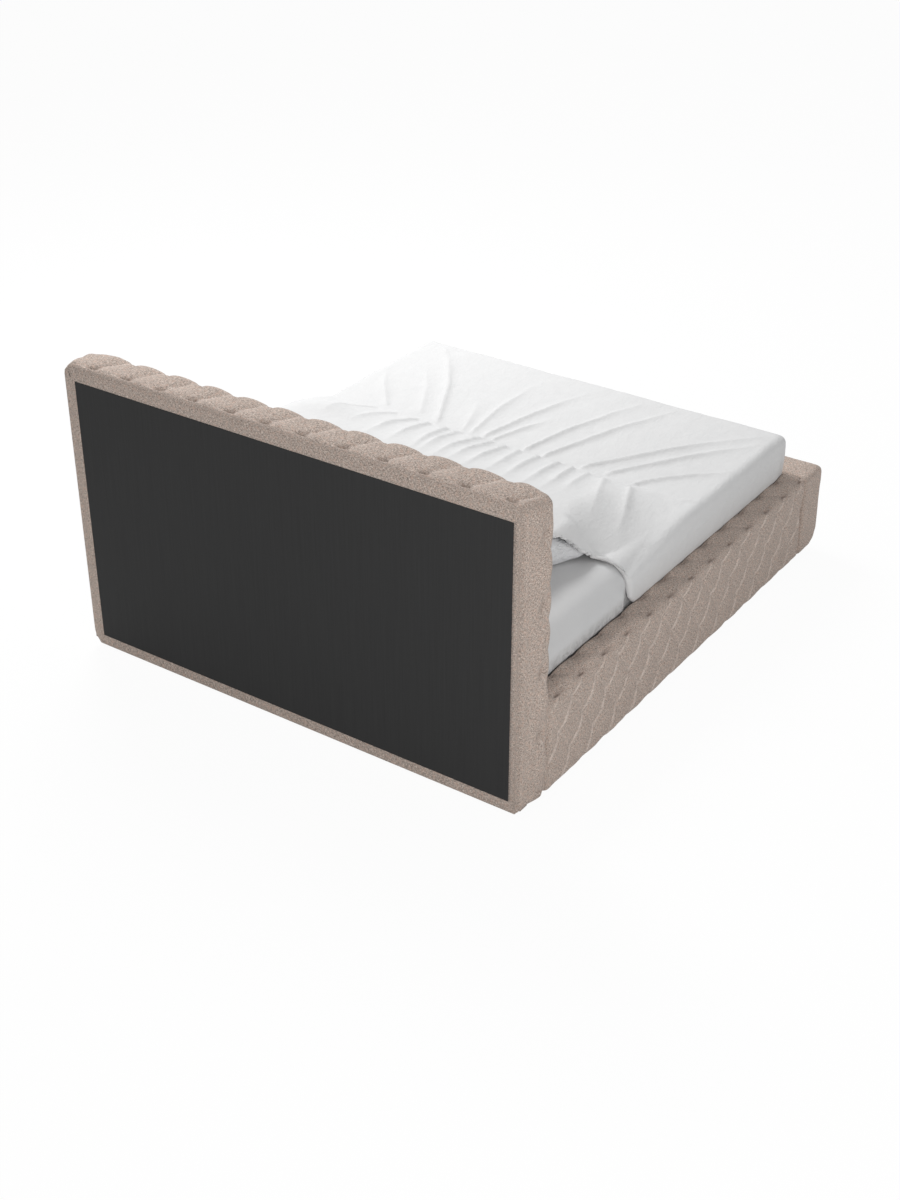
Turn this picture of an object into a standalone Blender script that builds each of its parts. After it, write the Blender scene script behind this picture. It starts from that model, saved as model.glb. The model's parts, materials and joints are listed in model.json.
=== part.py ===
# Upholstered double bed: diamond-tufted headboard, side rails and footboard on a timber core,
# a sprung slat base on ledges and a centre beam, and the mattress, pillows and duvet it wears.
# Metres, +Z up, floor at Z = 0. The headboard stands at +Y and the foot end at -Y.

import math

import bmesh
import bpy
from mathutils import Matrix, Vector

# Driving sizes of the frame
INSIDE_WIDTH = 1.80
INSIDE_LENGTH = 2.015
RAIL_THICKNESS = 0.1065
RAIL_HEIGHT = 0.377
HEADBOARD_HEIGHT = 1.175
HEADBOARD_DEPTH = 0.145
HEADBOARD_OVERHANG = 0.0135
FOOTBOARD_THICKNESS = 0.167
FLOOR_GAP = 0.025
FIT_GAP = 0.0003
CUT_OVERRUN = 0.02
MERGE_DISTANCE = 0.00001
TURNING_MERGE_DISTANCE = 0.0001

# Tufting
TUFT_PITCH = 0.16
TUFT_DEPTH = 0.022
PLEAT_DEPTH = 0.011
PUFF_FULLNESS_POWER = 0.55
DIMPLE_TIGHTNESS_POWER = 4
WHOLE_ROW_TOLERANCE = 0.01
HEADBOARD_ROW_PITCH = 0.1275
RAIL_LOWEST_ROW = 0.109
RAIL_TOP_ROW_DROP = 0.058
RAIL_FIRST_TUFT = 0.021
HEADBOARD_FRONT_RADIUS = 0.024
HEADBOARD_BACK_RADIUS = 0.024
HEADBOARD_END_RADIUS = 0.022
RAIL_OUTER_RADIUS = 0.03
RAIL_INNER_RADIUS = 0.016
RAIL_END_RADIUS = 0.013
FOOTBOARD_RADIUS = 0.016

# Timber core inside the upholstery
CORE_THICKNESS = 0.042
TOP_PADDING = 0.031
SIDE_PADDING = 0.033
BOTTOM_PADDING = 0.012
BACK_WRAP = 0.003
STILE_WIDTH = 0.09
CORE_RAIL_HEIGHT = 0.08
BACK_CLOTH_SIDE_MARGIN = 0.08
BACK_CLOTH_TOP_MARGIN = 0.064
BACK_CLOTH_BOTTOM_MARGIN = 0.035
LINING_MARGIN = 0.03
BOLTING_PAD = 0.010
POCKET_CLEARANCE = 0.008

# Slat base
SLATS_PER_SIDE = 12
SLAT_WIDTH = 0.068
SLAT_THICKNESS = 0.008
SLAT_CROWN = 0.006
SLAT_END_MARGIN = 0.075
SLAT_SLOT_CLEARANCE = 0.001
SLAT_SEAT_DROP = 0.087
SLAT_BEARING = 0.026
LEDGE_WIDTH = 0.036
LEDGE_HEIGHT = 0.045
LEDGE_END_GAP = 0.015
BEAM_WIDTH = 0.070
BEAM_HEIGHT = 0.065
BEAM_RIB = 0.008
BEAM_END_GAP = 0.006

# Corner brackets, beam hangers, legs and glides
PLATE_THICKNESS = 0.004
BRACKET_LEG = 0.062
BRACKET_LEDGE_DROP = 0.048
BRACKET_BASE = 0.04
BOLT_HEAD_RADIUS = 0.0085
BOLT_HEAD_HEIGHT = 0.005
BOLT_INSET = 0.035
HANGER_SEAT = 0.05
HANGER_WALL_HEIGHT = 0.05
HANGER_PLATE_MARGIN = 0.025
HANGER_PLATE_LIP = 0.006
LEG_SPREAD = 1.10
LEG_TUBE_RADIUS = 0.019
LEG_PLATE_RADIUS = 0.031
LEG_PLATE_HEIGHT = 0.005
LEG_PAD_RADIUS = 0.028
LEG_PAD_HEIGHT = 0.014
LEG_COLLAR_RADIUS = 0.023
LEG_COLLAR_HEIGHT = 0.02
GLIDE_RADIUS = 0.024
GLIDE_SOLE_RADIUS = 0.018
GLIDE_FLANGE_RADIUS = 0.03
GLIDE_FLANGE_HEIGHT = 0.004
GLIDE_SOLE_HEIGHT = 0.004
GLIDE_SIDE_INSET = 0.09
GLIDE_END_INSET = 0.07

# Bedding
MATTRESS_HEIGHT = 0.23
MATTRESS_EDGE_RADIUS = 0.038
MATTRESS_CROWN = 0.0035
DUVET_THICKNESS = 0.014
TUCK_THICKNESS = 0.012
TUCK_DEPTH = 0.025
DUVET_EDGE_RADIUS = 0.034
DUVET_FOLD_HEIGHT = 0.015
DUVET_FOLD_COUNT = 11
FOLD_EDGE_SHARES = (0.62, 0.9)
DUVET_HEM_FROM_HEAD = 0.19
DUVET_CREST_FROM_HEAD = 0.56
DUVET_LOOSE_FROM_HEAD = 0.64
DUVET_TUCKED_FROM_HEAD = 0.735
DUVET_CREASE_FROM_HEAD = 1.258
DUVET_PILLOW_CLEARANCE = 0.012
DUVET_LOOSE_INSET = 0.19
PILLOW_WIDTH = 0.74
PILLOW_DEPTH = 0.66
PILLOW_THICKNESS = 0.13
PILLOW_SEAM_RISE = 0.036
PILLOW_WAIST = 0.03
PILLOW_MIDDLE_GAP = 0.02
PILLOW_HEADBOARD_GAP = 0.02

# Sizes worked out from the ones above
OVER_RAILS = INSIDE_WIDTH + 2 * RAIL_THICKNESS
HEADBOARD_WIDTH = OVER_RAILS + 2 * HEADBOARD_OVERHANG
BED_LENGTH = HEADBOARD_DEPTH + INSIDE_LENGTH + FOOTBOARD_THICKNESS
HEAD_BACK_Y = BED_LENGTH / 2
HEAD_FRONT_Y = HEAD_BACK_Y - HEADBOARD_DEPTH
FOOT_OUTER_Y = -BED_LENGTH / 2
FOOT_INNER_Y = FOOT_OUTER_Y + FOOTBOARD_THICKNESS
INSIDE_MIDDLE_Y = (HEAD_FRONT_Y + FOOT_INNER_Y) / 2
RAIL_LENGTH = INSIDE_LENGTH - 2 * FIT_GAP
RAIL_TOP_Z = FLOOR_GAP + RAIL_HEIGHT
HEADBOARD_PAD = HEADBOARD_DEPTH - CORE_THICKNESS - BACK_WRAP
RAIL_PAD = RAIL_THICKNESS - CORE_THICKNESS - BACK_WRAP
FOOTBOARD_PAD = (FOOTBOARD_THICKNESS - CORE_THICKNESS) / 2
HEAD_BOLTING_Y = HEAD_FRONT_Y + HEADBOARD_PAD - BOLTING_PAD
FOOT_BOLTING_Y = FOOT_INNER_Y - FOOTBOARD_PAD + BOLTING_PAD
LINING_THICKNESS = BACK_WRAP - FIT_GAP
SLAT_SEAT_Z = RAIL_TOP_Z - SLAT_SEAT_DROP
MATTRESS_BOTTOM_Z = SLAT_SEAT_Z + SLAT_THICKNESS + SLAT_CROWN + 2 * FIT_GAP
MATTRESS_TOP_Z = MATTRESS_BOTTOM_Z + MATTRESS_HEIGHT
LEDGE_TOP_Z = SLAT_SEAT_Z + SLAT_THICKNESS
BRACKET_HEIGHT = LEDGE_TOP_Z - LEDGE_HEIGHT - BRACKET_LEDGE_DROP - BRACKET_BASE
LEDGE_INNER_X = INSIDE_WIDTH / 2 - FIT_GAP - LEDGE_WIDTH
MATTRESS_HALF_WIDTH = INSIDE_WIDTH / 2 - TUCK_THICKNESS - 2 * FIT_GAP
MATTRESS_HEAD_Y = HEAD_FRONT_Y - FIT_GAP
MATTRESS_FOOT_Y = FOOT_INNER_Y + TUCK_THICKNESS + 2 * FIT_GAP
DUVET_CREASE_Y = HEAD_FRONT_Y - DUVET_CREASE_FROM_HEAD
DUVET_TUCKED_Y = HEAD_FRONT_Y - DUVET_TUCKED_FROM_HEAD
DUVET_LOOSE_Y = HEAD_FRONT_Y - DUVET_LOOSE_FROM_HEAD
DUVET_CREST_Y = HEAD_FRONT_Y - DUVET_CREST_FROM_HEAD
DUVET_HEAD_Y = HEAD_FRONT_Y - DUVET_HEM_FROM_HEAD
DUVET_LIFT = PILLOW_THICKNESS + DUVET_PILLOW_CLEARANCE
PILLOW_FOOT_Y = HEAD_FRONT_Y - PILLOW_HEADBOARD_GAP - PILLOW_DEPTH


def make_collection(name):
    collection = bpy.data.collections.new(name)
    bpy.context.scene.collection.children.link(collection)
    return collection


def make_material(name, colour, roughness, metallic=0.0):
    material = bpy.data.materials.new(name)
    material.use_nodes = True
    shader = material.node_tree.nodes["Principled BSDF"]
    shader.inputs["Base Color"].default_value = (*colour, 1.0)
    shader.inputs["Roughness"].default_value = roughness
    shader.inputs["Metallic"].default_value = metallic
    return material


def clear_scene():
    for item in list(bpy.data.objects):
        bpy.data.objects.remove(item, do_unlink=True)


def add_object(name, mesh, material, location=(0, 0, 0), turn=0.0):
    mesh.materials.clear()
    mesh.materials.append(material)
    item = bpy.data.objects.new(name, mesh)
    item.location = location
    item.rotation_euler = (0, 0, turn)
    PARTS.objects.link(item)
    return item


def face_outwards(bm):
    bmesh.ops.recalc_face_normals(bm, faces=bm.faces)
    if bm.calc_volume(signed=True) < 0:
        bmesh.ops.reverse_faces(bm, faces=bm.faces)


def mesh_from(name, bm):
    face_outwards(bm)
    mesh = bpy.data.meshes.new(name)
    bm.to_mesh(mesh)
    bm.free()
    return mesh


def smooth(mesh, angle=40):
    mesh.shade_smooth()
    mesh.set_sharp_from_angle(angle=math.radians(angle))


def box_mesh(name, size):
    bm = bmesh.new()
    bmesh.ops.create_cube(bm, size=1, matrix=Matrix.Diagonal((*size, 1)))
    return mesh_from(name, bm)


def add_box(name, low, high, material):
    low = Vector(low)
    high = Vector(high)
    return add_object(name, box_mesh(name, high - low), material, (low + high) / 2)


def add_cutter(name, low, high):
    low = Vector(low)
    high = Vector(high)
    cutter = bpy.data.objects.new(name, box_mesh(name, high - low))
    cutter.location = (low + high) / 2
    return keep_as_cutter(cutter)


def keep_as_cutter(cutter):
    cutter.hide_render = True
    cutter.display_type = 'WIRE'
    CUTTERS.objects.link(cutter)
    return cutter


def combine(item, other, operation):
    boolean = item.modifiers.new(other.name, 'BOOLEAN')
    boolean.operation = operation
    boolean.solver = 'EXACT'
    boolean.object = other


def cut(item, cutter):
    combine(item, cutter, 'DIFFERENCE')


def join(item, other):
    combine(item, keep_as_cutter(other), 'UNION')


def add_turned(name, profile, material, location, steps=16):
    # profile: (radius, height) pairs down the outer side, from the top centre to the bottom centre
    bm = bmesh.new()
    corners = [bm.verts.new((radius, 0, height)) for radius, height in profile]
    for upper, lower in zip(corners, corners[1:]):
        bm.edges.new((upper, lower))
    mesh = bpy.data.meshes.new(name)
    bm.to_mesh(mesh)
    bm.free()
    item = add_object(name, mesh, material, location)
    screw = item.modifiers.new("turned", 'SCREW')
    screw.steps = steps
    screw.render_steps = steps
    screw.use_merge_vertices = True
    screw.merge_threshold = TURNING_MERGE_DISTANCE
    screw.use_smooth_shade = True
    return item


def add_extruded(name, outline, thickness, material, location, turn=(0, 0, 0)):
    # a flat outline in its own XY plane, thickened evenly to both sides
    curve = bpy.data.curves.new(name, 'CURVE')
    curve.dimensions = '2D'
    curve.fill_mode = 'BOTH'
    curve.extrude = thickness / 2
    spline = curve.splines.new('POLY')
    spline.points.add(len(outline) - 1)
    for point, (x, y) in zip(spline.points, outline):
        point.co = (x, y, 0, 1)
    spline.use_cyclic_u = True
    drawn = bpy.data.objects.new(name + " outline", curve)
    drawn.location = location
    drawn.rotation_euler = turn
    PARTS.objects.link(drawn)
    bpy.context.view_layer.update()
    mesh = bpy.data.meshes.new_from_object(drawn.evaluated_get(bpy.context.evaluated_depsgraph_get()))
    bm = bmesh.new()
    bm.from_mesh(mesh)
    bmesh.ops.remove_doubles(bm, verts=bm.verts, dist=MERGE_DISTANCE)
    face_outwards(bm)
    bm.to_mesh(mesh)
    bm.free()
    item = add_object(name, mesh, material)
    item.matrix_world = drawn.matrix_world.copy()
    bpy.data.objects.remove(drawn, do_unlink=True)
    bpy.data.curves.remove(curve)
    return item


# Tufting. A row of tufts has one every pitch, and the next row is half a pitch along.
# column and row count half pitches and rows, so a tuft sits where their sum is even.

def tuft_sink(column, row):
    across = abs((column + row) / 2 - round((column + row) / 2))
    along = abs((column - row) / 2 - round((column - row) / 2))
    puff = (math.sin(math.pi * across) * math.sin(math.pi * along)) ** PUFF_FULLNESS_POWER
    dimple = (math.cos(math.pi * across) * math.cos(math.pi * along)) ** DIMPLE_TIGHTNESS_POWER
    return PLEAT_DEPTH * (1 - puff) + (TUFT_DEPTH - PLEAT_DEPTH) * dimple


def face_station(depth, height, row=None):
    # a point of a section on its outer face, looking along -depth
    return (Vector((depth, height)), Vector((-1, 0)), row)


def top_station(depth, height, row=None):
    return (Vector((depth, height)), Vector((0, 1)), row)


def corner_station(depth, height, radius, angle, row=None):
    # a point on the round of a corner: angle 0 faces the outer side, 90 up, 180 the back, 270 down
    turn = math.radians(angle)
    outward = Vector((-math.cos(turn), math.sin(turn)))
    inward = Vector((1 if outward.x <= 0 else -1, -1 if outward.y >= 0 else 1))
    if angle in (90, 270):
        inward.x = -1 if depth > radius else 1
    if angle in (0, 180):
        inward.y = -1 if height > radius else 1
    middle = Vector((depth, height)) + inward * radius
    return (middle + outward * radius, outward, row)


def length_stations(length, end_radius, first_tuft, half_pitch, arc_steps):
    # positions along a padded piece: (place, inset that rounds the end, tuft column)
    flat_end = length / 2 - end_radius
    step = half_pitch / 2
    places = []
    count = math.ceil(length / step)
    for index in range(-count, count + 1):
        place = first_tuft + index * step
        if abs(place) < flat_end - step / 4:
            places.append((place, 0.0, (place - first_tuft) / half_pitch))
    for side in (-1, 1):
        for index in range(arc_steps + 1):
            angle = math.pi / 2 * index / arc_steps
            place = side * (flat_end + end_radius * math.sin(angle))
            developed = side * (flat_end + end_radius * angle)
            inset = end_radius * (1 - math.cos(angle))
            places.append((place, inset, (developed - first_tuft) / half_pitch))
    return sorted(places)


def padded_mesh(name, stations, section):
    # lofts the section along the stations, sinks the tufts and folds the faces along the pleats
    columns = len(stations)
    ring = len(section)
    bm = bmesh.new()
    bmesh.ops.create_grid(bm, x_segments=columns - 1, y_segments=ring, size=0.5)
    marks = {}
    for vert in bm.verts:
        along = round((vert.co.x + 0.5) * (columns - 1))
        around = round((vert.co.y + 0.5) * ring) % ring
        place, inset, column = stations[along]
        point, outward, row = section[around]
        sink = inset
        if row is not None:
            sink += tuft_sink(column, row)
            marks[vert] = (column, row)
        moved = point - outward * sink
        vert.co = (place, moved.x, moved.y)
    fold_pleats(bm, marks)
    bmesh.ops.remove_doubles(bm, verts=bm.verts, dist=MERGE_DISTANCE)
    ends = [edge for edge in bm.edges if edge.is_boundary]
    bmesh.ops.holes_fill(bm, edges=ends, sides=0)
    bmesh.ops.recalc_face_normals(bm, faces=bm.faces)
    bmesh.ops.dissolve_limit(bm, angle_limit=math.radians(0.2), verts=bm.verts, edges=bm.edges)
    mesh = mesh_from(name, bm)
    smooth(mesh, 60)
    return mesh


def is_whole(value):
    return abs(value - round(value)) < WHOLE_ROW_TOLERANCE


def fold_pleats(bm, marks):
    # every quarter of a puff has one corner on a whole column and row: it is split from there
    for face in list(bm.faces):
        corners = [vert for vert in face.verts if vert in marks]
        if len(corners) < 4:
            continue
        whole = [v for v in corners if is_whole(marks[v][0]) and is_whole(marks[v][1])]
        if whole:
            order = list(face.verts)
            opposite = order[(order.index(whole[0]) + 2) % 4]
            bmesh.utils.face_split(face, whole[0], opposite)


def half_rows(lowest, highest):
    return [lowest + index / 2 for index in range(int(2 * (highest - lowest)) + 1)]


def headboard_section():
    top = HEADBOARD_HEIGHT
    radius = HEADBOARD_FRONT_RADIUS
    back = HEADBOARD_BACK_RADIUS
    edge_row = top - radius * (1 - math.sin(math.radians(45)))
    lowest_row = -int((HEADBOARD_HEIGHT - RAIL_HEIGHT) / HEADBOARD_ROW_PITCH)
    section = [corner_station(0, 0, radius, angle) for angle in (-90, -45, 0)]
    plain_top = edge_row + (lowest_row - 0.5) * HEADBOARD_ROW_PITCH
    section.append(face_station(0, plain_top))
    for row in half_rows(lowest_row, -0.5):
        section.append(face_station(0, edge_row + row * HEADBOARD_ROW_PITCH, row))
    section.append(corner_station(0, top, radius, 45, 0))
    back_row = HEADBOARD_DEPTH - back
    section.append(top_station(back_row / 2, top, 0.5))
    section.append(top_station(back_row, top, 1))
    section.append(corner_station(HEADBOARD_DEPTH, top, back, 135))
    section.append(corner_station(HEADBOARD_DEPTH, top, back, 180))
    section.append(corner_station(HEADBOARD_DEPTH, 0, back, 180))
    section.append(corner_station(HEADBOARD_DEPTH, 0, back, 270))
    return section


def rail_face_stations(low_radius, top_radius, top_angle):
    # the tufted outer face of a rail or the footboard, from its bottom edge to its top edge
    section = [corner_station(0, 0, low_radius, -90)]
    section.append(corner_station(0, 0, low_radius, -45, 0))
    top_row = RAIL_HEIGHT - RAIL_TOP_ROW_DROP
    pitch = (top_row - RAIL_LOWEST_ROW) / 2
    section.append(face_station(0, (RAIL_LOWEST_ROW + low_radius / 2) / 2, 0.5))
    for row in half_rows(1, 3):
        section.append(face_station(0, RAIL_LOWEST_ROW + (row - 1) * pitch, row))
    section.append(face_station(0, RAIL_HEIGHT - (RAIL_TOP_ROW_DROP + top_radius / 2) / 2, 3.5))
    section.append(corner_station(0, RAIL_HEIGHT, top_radius, top_angle, 4))
    return section


def rail_section():
    inner = RAIL_INNER_RADIUS
    section = rail_face_stations(RAIL_OUTER_RADIUS / 2, RAIL_OUTER_RADIUS, 65)
    section.append(top_station((RAIL_THICKNESS + RAIL_OUTER_RADIUS / 2) / 2, RAIL_HEIGHT, 4.5))
    section.append(corner_station(RAIL_THICKNESS, RAIL_HEIGHT, inner, 135, 5))
    section.append(corner_station(RAIL_THICKNESS, RAIL_HEIGHT, inner, 180))
    section.append(corner_station(RAIL_THICKNESS, 0, inner, 180))
    section.append(corner_station(RAIL_THICKNESS, 0, inner, 270))
    return section


def footboard_section():
    radius = FOOTBOARD_RADIUS
    section = rail_face_stations(radius, radius, 45)
    section.append(top_station(FOOTBOARD_THICKNESS / 3, RAIL_HEIGHT))
    section.append(corner_station(FOOTBOARD_THICKNESS, RAIL_HEIGHT, radius, 90))
    section.append(corner_station(FOOTBOARD_THICKNESS, RAIL_HEIGHT, radius, 135))
    section.append(corner_station(FOOTBOARD_THICKNESS, RAIL_HEIGHT, radius, 180))
    section.append(corner_station(FOOTBOARD_THICKNESS, 0, radius, 180))
    section.append(corner_station(FOOTBOARD_THICKNESS, 0, radius, 270))
    return section


def cut_pockets(cover, name, start_y, end_y):
    # the padding is left out where the corner brackets and the beam hanger are bolted on
    inner = INSIDE_WIDTH / 2
    low = FLOOR_GAP - CUT_OVERRUN
    bracket_top = BRACKET_BASE + BRACKET_HEIGHT + POCKET_CLEARANCE
    for side in (1, -1):
        edges = spread_x(side, inner - BRACKET_LEG - POCKET_CLEARANCE, inner)
        cut(cover, add_cutter(f"{name} bracket pocket {side}", (edges[0], start_y, low),
                              (edges[1], end_y, bracket_top)))
    half = BEAM_WIDTH / 2 + PLATE_THICKNESS + HANGER_PLATE_MARGIN + POCKET_CLEARANCE
    cut(cover, add_cutter(name + " hanger pocket", (-half, start_y, low),
                          (half, end_y, LEDGE_TOP_Z + POCKET_CLEARANCE)))


def build_headboard():
    stations = length_stations(HEADBOARD_WIDTH, HEADBOARD_END_RADIUS, 0.0, TUFT_PITCH / 2, 3)
    mesh = padded_mesh("headboard_upholstery", stations, headboard_section())
    cover = add_object("headboard_upholstery", mesh, UPHOLSTERY, (0, HEAD_FRONT_Y, FLOOR_GAP))
    core_half = HEADBOARD_WIDTH / 2 - SIDE_PADDING
    core_low = FLOOR_GAP + BOTTOM_PADDING
    core_high = FLOOR_GAP + HEADBOARD_HEIGHT - TOP_PADDING
    core_front = HEAD_BACK_Y - BACK_WRAP - CORE_THICKNESS
    core_back = HEAD_BACK_Y - BACK_WRAP
    cut(cover, add_cutter("headboard core pocket", (-core_half, core_front, core_low),
                          (core_half, core_back, core_high)))
    cloth_half = HEADBOARD_WIDTH / 2 - BACK_CLOTH_SIDE_MARGIN
    cloth_low = FLOOR_GAP + BACK_CLOTH_BOTTOM_MARGIN
    cloth_high = FLOOR_GAP + HEADBOARD_HEIGHT - BACK_CLOTH_TOP_MARGIN
    cut(cover, add_cutter("headboard back opening", (-cloth_half, core_back - CORE_THICKNESS / 2, cloth_low),
                          (cloth_half, HEAD_BACK_Y + CUT_OVERRUN, cloth_high)))
    cut_pockets(cover, "headboard", HEAD_FRONT_Y - CUT_OVERRUN, HEAD_BOLTING_Y)
    gap = FIT_GAP
    low = core_low + gap
    high = core_high - gap
    front = core_front + gap
    back = core_back - gap
    stile_inner = core_half - gap - STILE_WIDTH
    for side, name in ((1, "left"), (-1, "right")):
        edges = sorted((side * stile_inner, side * (core_half - gap)))
        add_box("headboard_stile_" + name, (edges[0], front, low), (edges[1], back, high), TIMBER)
    reach = stile_inner - gap
    top_rail_low = high - CORE_RAIL_HEIGHT
    bottom_rail_high = low + CORE_RAIL_HEIGHT
    add_box("headboard_top_rail", (-reach, front, top_rail_low), (reach, back, high), TIMBER)
    add_box("headboard_bottom_rail", (-reach, front, low), (reach, back, bottom_rail_high), TIMBER)
    add_box("headboard_panel", (-reach, front, bottom_rail_high + gap),
            (reach, back, top_rail_low - gap), BOARD)
    add_box("headboard_back_cloth", (-cloth_half + gap, core_back, cloth_low + gap),
            (cloth_half - gap, core_back + BACK_WRAP - gap, cloth_high - gap), BACK_CLOTH)


def build_side_rail(side, name):
    # side 1 is at +X, side -1 at -X; the outer face is the section's own outer face
    first_tuft = -side * (RAIL_LENGTH / 2 - RAIL_FIRST_TUFT)
    half_pitch = (RAIL_LENGTH - RAIL_FIRST_TUFT) / round(2 * RAIL_LENGTH / TUFT_PITCH)
    stations = length_stations(RAIL_LENGTH, RAIL_END_RADIUS, first_tuft, half_pitch, 2)
    mesh = padded_mesh("rail_upholstery_" + name, stations, rail_section())
    cover = add_object("rail_upholstery_" + name, mesh, UPHOLSTERY,
                       (side * OVER_RAILS / 2, INSIDE_MIDDLE_Y, FLOOR_GAP), side * math.pi / 2)
    outer = OVER_RAILS / 2 - RAIL_PAD
    inner = outer - CORE_THICKNESS
    half_length = RAIL_LENGTH / 2 - BOTTOM_PADDING
    low = FLOOR_GAP + BOTTOM_PADDING
    high = RAIL_TOP_Z - TOP_PADDING
    core = spread_x(side, inner, outer)
    start = INSIDE_MIDDLE_Y - half_length
    end = INSIDE_MIDDLE_Y + half_length
    cut(cover, add_cutter("rail core pocket " + name, (core[0], start, low), (core[1], end, high)))
    opening = spread_x(side, inner - BACK_WRAP - CUT_OVERRUN, inner + BACK_WRAP)
    cut(cover, add_cutter("rail lining opening " + name,
                          (opening[0], start + LINING_MARGIN, low + LINING_MARGIN),
                          (opening[1], end - LINING_MARGIN, high - LINING_MARGIN)))
    gap = FIT_GAP
    board = spread_x(side, inner + gap, outer - gap)
    add_box("rail_board_" + name, (board[0], start + gap, low + gap),
            (board[1], end - gap, high - gap), TIMBER)
    lining = spread_x(side, INSIDE_WIDTH / 2, INSIDE_WIDTH / 2 + LINING_THICKNESS)
    margin = LINING_MARGIN + gap
    add_box("rail_lining_" + name, (lining[0], start + margin, low + margin),
            (lining[1], end - margin, high - margin), BACK_CLOTH)


def spread_x(side, inner, outer):
    return sorted((side * inner, side * outer))


def build_footboard():
    stations = length_stations(OVER_RAILS, FOOTBOARD_RADIUS, 0.0, TUFT_PITCH / 2, 2)
    mesh = padded_mesh("foot_upholstery", stations, footboard_section())
    cover = add_object("foot_upholstery", mesh, UPHOLSTERY, (0, FOOT_OUTER_Y, FLOOR_GAP))
    half = OVER_RAILS / 2 - SIDE_PADDING
    front = FOOT_OUTER_Y + FOOTBOARD_PAD
    back = front + CORE_THICKNESS
    high = RAIL_TOP_Z - TOP_PADDING
    cut(cover, add_cutter("foot core slot", (-half, front, FLOOR_GAP - CUT_OVERRUN),
                          (half, back, high)))
    cut_pockets(cover, "foot", FOOT_BOLTING_Y, FOOT_INNER_Y + CUT_OVERRUN)
    gap = FIT_GAP
    lining_low = FLOOR_GAP + gap
    lining_high = lining_low + LINING_THICKNESS
    add_box("foot_board", (-half + gap, front + gap, lining_high + gap),
            (half - gap, back - gap, high - gap), TIMBER)
    add_box("foot_lining", (-half + gap, front + gap, lining_low),
            (half - gap, back - gap, lining_high), BACK_CLOTH)


# Slat base

def slat_places():
    first = FOOT_INNER_Y + SLAT_END_MARGIN
    last = HEAD_FRONT_Y - SLAT_END_MARGIN
    step = (last - first) / (SLATS_PER_SIDE - 1)
    return [first + index * step for index in range(SLATS_PER_SIDE)]


def slat_slots(name, low_x, high_x):
    # one cutter with a pocket for each slat end
    bm = bmesh.new()
    slot = (high_x - low_x, SLAT_WIDTH + 2 * SLAT_SLOT_CLEARANCE, SLAT_THICKNESS + CUT_OVERRUN)
    height = SLAT_SEAT_Z - FIT_GAP + slot[2] / 2
    for place in slat_places():
        middle = Matrix.Translation(((low_x + high_x) / 2, place, height))
        bmesh.ops.create_cube(bm, size=1, matrix=middle @ Matrix.Diagonal((*slot, 1)))
    return keep_as_cutter(bpy.data.objects.new(name, mesh_from(name, bm)))


def build_ledge(side, name):
    edges = spread_x(side, LEDGE_INNER_X, LEDGE_INNER_X + LEDGE_WIDTH)
    ledge = add_box("slat_ledge_" + name,
                    (edges[0], FOOT_INNER_Y + LEDGE_END_GAP, LEDGE_TOP_Z - LEDGE_HEIGHT),
                    (edges[1], HEAD_FRONT_Y - LEDGE_END_GAP, LEDGE_TOP_Z), TIMBER)
    slot = spread_x(side, LEDGE_INNER_X - CUT_OVERRUN, LEDGE_INNER_X + SLAT_BEARING + SLAT_SLOT_CLEARANCE)
    cut(ledge, slat_slots("slat pockets " + name, *slot))


def slat_mesh():
    length = LEDGE_INNER_X + SLAT_BEARING - BEAM_RIB / 2 - FIT_GAP
    bm = bmesh.new()
    bmesh.ops.create_cube(bm, size=1, matrix=Matrix.Diagonal((length, SLAT_WIDTH, SLAT_THICKNESS, 1)))
    lengthwise = [e for e in bm.edges if abs(e.verts[0].co.x - e.verts[1].co.x) > length / 2]
    bmesh.ops.subdivide_edges(bm, edges=lengthwise, cuts=5, use_grid_fill=True)
    for vert in bm.verts:
        share = 2 * vert.co.x / length
        vert.co.z += SLAT_CROWN * (1 - share * share)
    return mesh_from("slat", bm), length


def build_slats():
    mesh, length = slat_mesh()
    middle_x = BEAM_RIB / 2 + FIT_GAP + length / 2
    middle_z = SLAT_SEAT_Z + SLAT_THICKNESS / 2
    for side, name in ((1, "left"), (-1, "right")):
        for number, place in enumerate(slat_places(), start=1):
            add_object(f"slat_{name}_{number:02d}", mesh, BEECH, (side * middle_x, place, middle_z))


def build_beam():
    half = BEAM_WIDTH / 2
    beam = add_box("centre_beam", (-half, FOOT_BOLTING_Y + PLATE_THICKNESS + BEAM_END_GAP,
                                   LEDGE_TOP_Z - BEAM_HEIGHT),
                   (half, HEAD_BOLTING_Y - PLATE_THICKNESS - BEAM_END_GAP, LEDGE_TOP_Z), TIMBER)
    rib = BEAM_RIB / 2
    for side, name in ((1, "left"), (-1, "right")):
        pocket = spread_x(side, rib, half + CUT_OVERRUN)
        cut(beam, slat_slots("beam pockets " + name, *pocket))


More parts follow.
